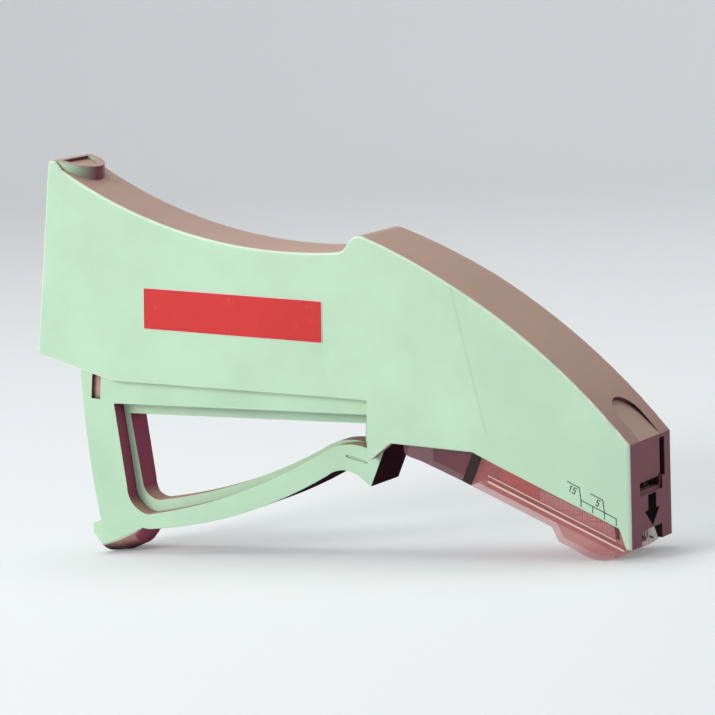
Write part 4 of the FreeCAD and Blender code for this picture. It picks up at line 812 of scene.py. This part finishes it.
class STAPLER_OT_springs(bpy.types.Operator):
    """Make the feed spring and the return spring of round wire."""

    bl_idname = "stapler.springs"
    bl_label = "Springs"

    def execute(self, context):
        finish, sizes, _ = settings()
        metal = steel("spring_steel", finish.spring, tarnish=0.3)
        low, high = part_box("return_spring")
        middle = TOOL.inverted() @ ((low + high) / 2)
        length = sizes.return_length
        points = spring_points(sizes.return_radius, sizes.return_wire, sizes.return_turns, length)
        placed = [at(p.x + middle.x, p.y, p.z + middle.z - length / 2) for p in points]
        ends = [at(middle.x, 0, middle.z + length / 2), at(middle.x, 0, middle.z - length / 2)]
        self.coil("return_coil", "return_spring", placed, sizes.return_wire, metal, "trigger", ends)
        low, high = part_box("feed_spring")
        centre = (low + high) / 2
        axis = Vector(JOINTS["pusher_slide"]["axis"])
        outer = 2 * sizes.feed_radius + sizes.feed_wire
        length = ((high.x - low.x) * 1000 - outer * abs(axis.z)) / axis.x
        turn = axis.to_track_quat("Z", "Y").to_matrix()
        points = spring_points(sizes.feed_radius, sizes.feed_wire, sizes.feed_turns, length)
        placed = [centre + turn @ (p - Vector((0, 0, length / 2))) / 1000 for p in points]
        ends = [centre - axis * length / 2000, centre + axis * length / 2000]
        self.coil("feed_coil", "feed_spring", placed, sizes.feed_wire, metal, "pusher", ends)
        return {"FINISHED"}

    def coil(self, name, node, placed, wire, metal, moving, ends):
        """One coil of round wire in place of the frame's spring, which it hides."""
        piece = wire_piece(name, placed, wire / 1000)
        bpy.context.scene.collection.objects.link(piece)
        piece.data.materials.clear()
        piece.data.materials.append(metal)
        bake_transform(piece)
        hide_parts(node)


def crown_line(sizes):
    """Height of the line on which the staples' crowns lie, for any x of the tool's own frame."""
    low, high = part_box("loaded_staple")
    front = TOOL.inverted() @ ((low + high) / 2)
    forward = TURNED.inverted() @ Vector(JOINTS["pusher_slide"]["axis"])
    fall = forward.z / forward.x
    return lambda x: front.z + sizes.staple_leg / 2 + (x - front.x) * fall


def strip(line, x0, x1, above, width):
    """The four corners of a strip along a sloping line."""
    return [(x0, line(x0) + above - width / 2), (x1, line(x1) + above - width / 2),
            (x1, line(x1) + above + width / 2), (x0, line(x0) + above + width / 2)]


class STAPLER_OT_beads(bpy.types.Operator):
    """Make the lines on the clear cover's sides: two pale beads that paint highlight lines, a dark bar that
    paints the shadow at its edge, and a dark stop bar at its front.
    """

    bl_idname = "stapler.beads"
    bl_label = "Cover beads"

    def execute(self, context):
        finish, sizes, _ = settings()
        line = crown_line(sizes)
        rear, front, width = sizes.bead_rear, sizes.bead_front, sizes.bead_width
        shorter, thinner = 2.0, 0.6
        # The pale beads paint the highlight lines along the cover
        pale = [strip(line, rear, front, -sizes.bead_drop, width),
                strip(line, rear, front - shorter, sizes.bead_step - sizes.bead_drop, width * thinner)]
        x, reach = sizes.stop_rear, sizes.stop_width
        rise, lean = 1.1, 0.4
        top = line(x) + rise
        low = top - sizes.stop_height
        # The dark strip under the shells' edge paints their shadow; the bar at the front is the stop
        dark = [strip(line, rear, x, sizes.bead_edge, width),
                [(x, top), (x + reach, top), (x + reach + lean, low), (x + lean, low)]]
        for name, outlines, colour in (("cover_beads", pale, finish.bead), ("cover_bars", dark, finish.stop)):
            piece = self.on_both_sides(name, outlines, sizes.bead_proud)
            material = plastic(name + "_plastic", colour, mottle=0.08, wear=0.0)
            finished(piece, "casing", material)
        return {"FINISHED"}

    def on_both_sides(self, name, outlines, proud):
        """Thin closed bars on both sides of the cover; each outline is a list of (x, z)."""
        low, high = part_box("magazine_cover")
        half = (high.y - low.y) * 500
        made = bmesh.new()
        for side in (-1, 1):
            for corners in outlines:
                prism(made, [[at(x, side * (half + out), z) for x, z in corners] for out in (-0.03, proud)])
        return piece_of(name, made)


class STAPLER_OT_label(bpy.types.Operator):
    """Make the plain plate on the near flank, with its keyline."""

    bl_idname = "stapler.label"
    bl_label = "Label plate"

    def execute(self, context):
        finish, sizes, _ = settings()
        x0, x1, z0, z1 = -sizes.label_rear, -sizes.label_front, sizes.label_low, sizes.label_high
        edge, corner, inner_corner = sizes.label_border, 0.4, 0.3
        rim = print_on_side("label_keyline", [rounded(x0, x1, z0, z1, corner)], sizes, sizes.label_thickness)
        inner = rounded(x0 + edge, x1 - edge, z0 + edge, z1 - edge, inner_corner)
        plate = print_on_side("label_plate", [inner], sizes, sizes.label_thickness + sizes.print_height)
        finished(rim, "casing", plastic("label_border_ink", finish.border, mottle=0.02))
        finished(plate, "casing",
                 plastic("label_ink", finish.label, mottle=0.05, **gloss(0.25)))
        return {"FINISHED"}


# Strokes of the digits on the scale, each in a box one unit wide and two high
DIGITS = {
    "1": [((0.5, 0), (0.5, 2)), ((0.15, 1.6), (0.5, 2))],
    "5": [((1, 2), (0.1, 2)), ((0.1, 2), (0.1, 1.1)), ((0.1, 1.1), (0.9, 1.1)), ((0.9, 1.1), (0.9, 0)),
          ((0.9, 0), (0, 0))],
}


class STAPLER_OT_scale(bpy.types.Operator):
    """Make the printed scale that shows how many staples are left."""

    bl_idname = "stapler.scale"
    bl_label = "Staple scale"

    def execute(self, context):
        finish, sizes, _ = settings()
        base_rear, base_front = Vector((49.8, -10.6)), Vector((58.1, -13.9))
        tick, mast, flag = Vector((0, -1.4)), Vector((-0.45, 2.7)), 3.0
        size, spacing, inset, drop = 0.62, 0.95, 1.1, 1.75
        along = (base_front - base_rear).normalized()
        down = Vector((along.y, -along.x))
        lines = [(base_rear, base_front)]
        for share in (0.0, 1 / 3, 2 / 3, 1.0):
            foot = base_rear.lerp(base_front, share)
            lines.append((foot, foot + tick))
        for foot, number in ((base_rear, "15"), (base_rear.lerp(base_front, 2 / 3), "5")):
            top = foot + mast
            lines += [(foot, top), (top, top - along * flag)]
            for place, digit in enumerate(reversed(number)):
                corner = top - along * (inset + place * spacing) + down * drop
                for ends in DIGITS[digit]:
                    lines.append(tuple(corner + along * (x * size) - down * (z * size) for x, z in ends))
        strokes = [stroke(a, b, sizes.line_width) for a, b in lines]
        piece = print_on_side("staple_scale", strokes, sizes, sizes.print_height)
        finished(piece, "casing", plastic("scale_ink", finish.print_ink, mottle=0.05))
        return {"FINISHED"}


class STAPLER_OT_arrow(bpy.types.Operator):
    """Make the printed arrow that points to the staple's exit."""

    bl_idname = "stapler.arrow"
    bl_label = "Exit arrow"

    def execute(self, context):
        finish, sizes, _ = settings()
        shaft, head, top, neck, tip, aside = 2.1, 3.9, -10.0, -13.4, -17.0, 0.4
        corners = [(-shaft, top), (shaft, top), (shaft, neck), (head, neck), (0, tip), (-head, neck),
                   (-shaft, neck)]
        made = bmesh.new()
        prism(made, [[at(sizes.front_x + (sizes.front_top - z) * sizes.front_slope + out, y + aside, z)
                      for y, z in corners] for out in (-0.01, sizes.print_height)])
        ink = plastic("arrow_ink", finish.arrow_ink, mottle=0.1, roughness=0.9, wear=0.0, **gloss(0.0))
        finished(piece_of("exit_arrow", made), "casing", ink)
        return {"FINISHED"}


class STAPLER_OT_stage(bpy.types.Operator):
    """Make the floor and backdrop, the lights and the camera."""

    bl_idname = "stapler.stage"
    bl_label = "Stage"

    def execute(self, context):
        _, _, stage = settings()
        scene = context.scene
        self.floor(stage)
        self.light("key_light", stage.key_power, size=0.55, place=(-0.55, -0.95, 0.42))
        self.light("top_light", stage.top_power, size=0.7, place=(-0.2, 0.1, 0.9))
        self.camera(scene, stage)
        world = bpy.data.worlds.new("studio_air")
        world.use_nodes = True
        back = world.node_tree.nodes["Background"]
        back.inputs["Color"].default_value = (*stage.backdrop, 1)
        back.inputs["Strength"].default_value = stage.air
        scene.world = world
        scene.view_settings.view_transform = "Standard"
        return {"FINISHED"}

    def floor(self, stage):
        """A floor that turns up into a wall behind the tool."""
        made = bmesh.new()
        reach, behind, bend, top = 4.0, 0.9, 0.5, 3.0
        angles = [math.radians(6 * i) for i in range(16)]
        profile = [(-reach, 0.0)]
        profile += [(behind + bend * math.sin(a), bend - bend * math.cos(a)) for a in angles]
        profile.append((behind + bend, top))
        rows = [[made.verts.new((x, y, z)) for y, z in profile] for x in (-reach, reach)]
        for i in range(len(profile) - 1):
            made.faces.new((rows[0][i], rows[1][i], rows[1][i + 1], rows[0][i + 1]))
        mesh = bpy.data.meshes.new("studio_floor")
        made.to_mesh(mesh)
        made.free()
        material = bpy.data.materials.new("floor_paper")
        material.use_nodes = True
        shader = material.node_tree.nodes["Principled BSDF"]
        shader.inputs["Base Color"].default_value = (*stage.backdrop, 1)
        shader.inputs["Roughness"].default_value = 0.9
        shader.inputs["Emission Color"].default_value = (*stage.backdrop, 1)
        tree = material.node_tree
        light = value_node(tree, "ShaderNodeLightPath")
        seen = math_node(tree, "MAXIMUM", light.outputs["Is Camera Ray"], light.outputs["Is Glossy Ray"])
        seen = math_node(tree, "MAXIMUM", seen, light.outputs["Is Transmission Ray"])
        tree.links.new(times(tree, seen, stage.glow), shader.inputs["Emission Strength"])
        mesh.materials.append(material)
        for polygon in mesh.polygons:
            polygon.use_smooth = True
        floor = bpy.data.objects.new("studio_floor", mesh)
        bpy.context.scene.collection.objects.link(floor)

    def light(self, name, power, size, place):
        """A soft square lamp that looks at the tool."""
        lamp = bpy.data.lights.new(name, "AREA")
        lamp.energy, lamp.size = power, size
        thing = bpy.data.objects.new(name, lamp)
        thing.location = place
        aim = PIVOT - thing.location
        thing.rotation_mode = "QUATERNION"
        thing.rotation_quaternion = aim.to_track_quat("-Z", "Y")
        bpy.context.scene.collection.objects.link(thing)

    def camera(self, scene, stage):
        """The photo's view, turned with the tool's stance."""
        turn, rise = stage.azimuth, stage.elevation
        back = Vector((math.sin(turn) * math.cos(rise), -math.cos(turn) * math.cos(rise), math.sin(rise)))
        target = at(-10.2, 0, 14.4)
        lens = bpy.data.cameras.new("camera")
        lens.lens = stage.lens
        camera = bpy.data.objects.new("camera", lens)
        camera.rotation_mode = "QUATERNION"
        camera.location = target + TURNED @ back * stage.distance
        camera.rotation_quaternion = TURNED.to_quaternion() @ (-back).to_track_quat("-Z", "Y")
        scene.collection.objects.link(camera)
        scene.camera = camera


class STAPLER_PT_panel(bpy.types.Panel):
    """The stapler's pieces and their values."""

    bl_idname = "STAPLER_PT_panel"
    bl_label = "Skin stapler"
    bl_space_type = "VIEW_3D"
    bl_region_type = "UI"
    bl_category = "Stapler"

    def draw(self, context):
        layout = self.layout
        for operator in OPERATORS:
            layout.operator(operator.bl_idname)
        for group in GROUPS:
            values = getattr(context.scene, group)
            for name in values.bl_rna.properties.keys():
                if name not in ("rna_type", "name"):
                    layout.prop(values, name)


OPERATORS = (STAPLER_OT_stage, STAPLER_OT_shells, STAPLER_OT_mechanism, STAPLER_OT_magazine,
             STAPLER_OT_staples, STAPLER_OT_springs, STAPLER_OT_beads, STAPLER_OT_label,
             STAPLER_OT_scale, STAPLER_OT_arrow)
GROUPS = {"stapler_finish": StaplerFinish, "stapler_sizes": StaplerSizes, "stapler_stage": StageSettings}


def register():
    """Add the classes and the three groups of values."""
    for item in (*GROUPS.values(), *OPERATORS, STAPLER_PT_panel):
        bpy.utils.register_class(item)
    for name, group in GROUPS.items():
        setattr(bpy.types.Scene, name, PointerProperty(type=group))


def unregister():
    """Take them away again."""
    for name in GROUPS:
        delattr(bpy.types.Scene, name)
    for item in (STAPLER_PT_panel, *reversed(OPERATORS), *GROUPS.values()):
        bpy.utils.unregister_class(item)


def main():
    """Make every piece."""
    register()
    for operator in OPERATORS:
        group, name = operator.bl_idname.split(".")
        getattr(getattr(bpy.ops, group), name)()


if __name__ == "__main__":
    main()
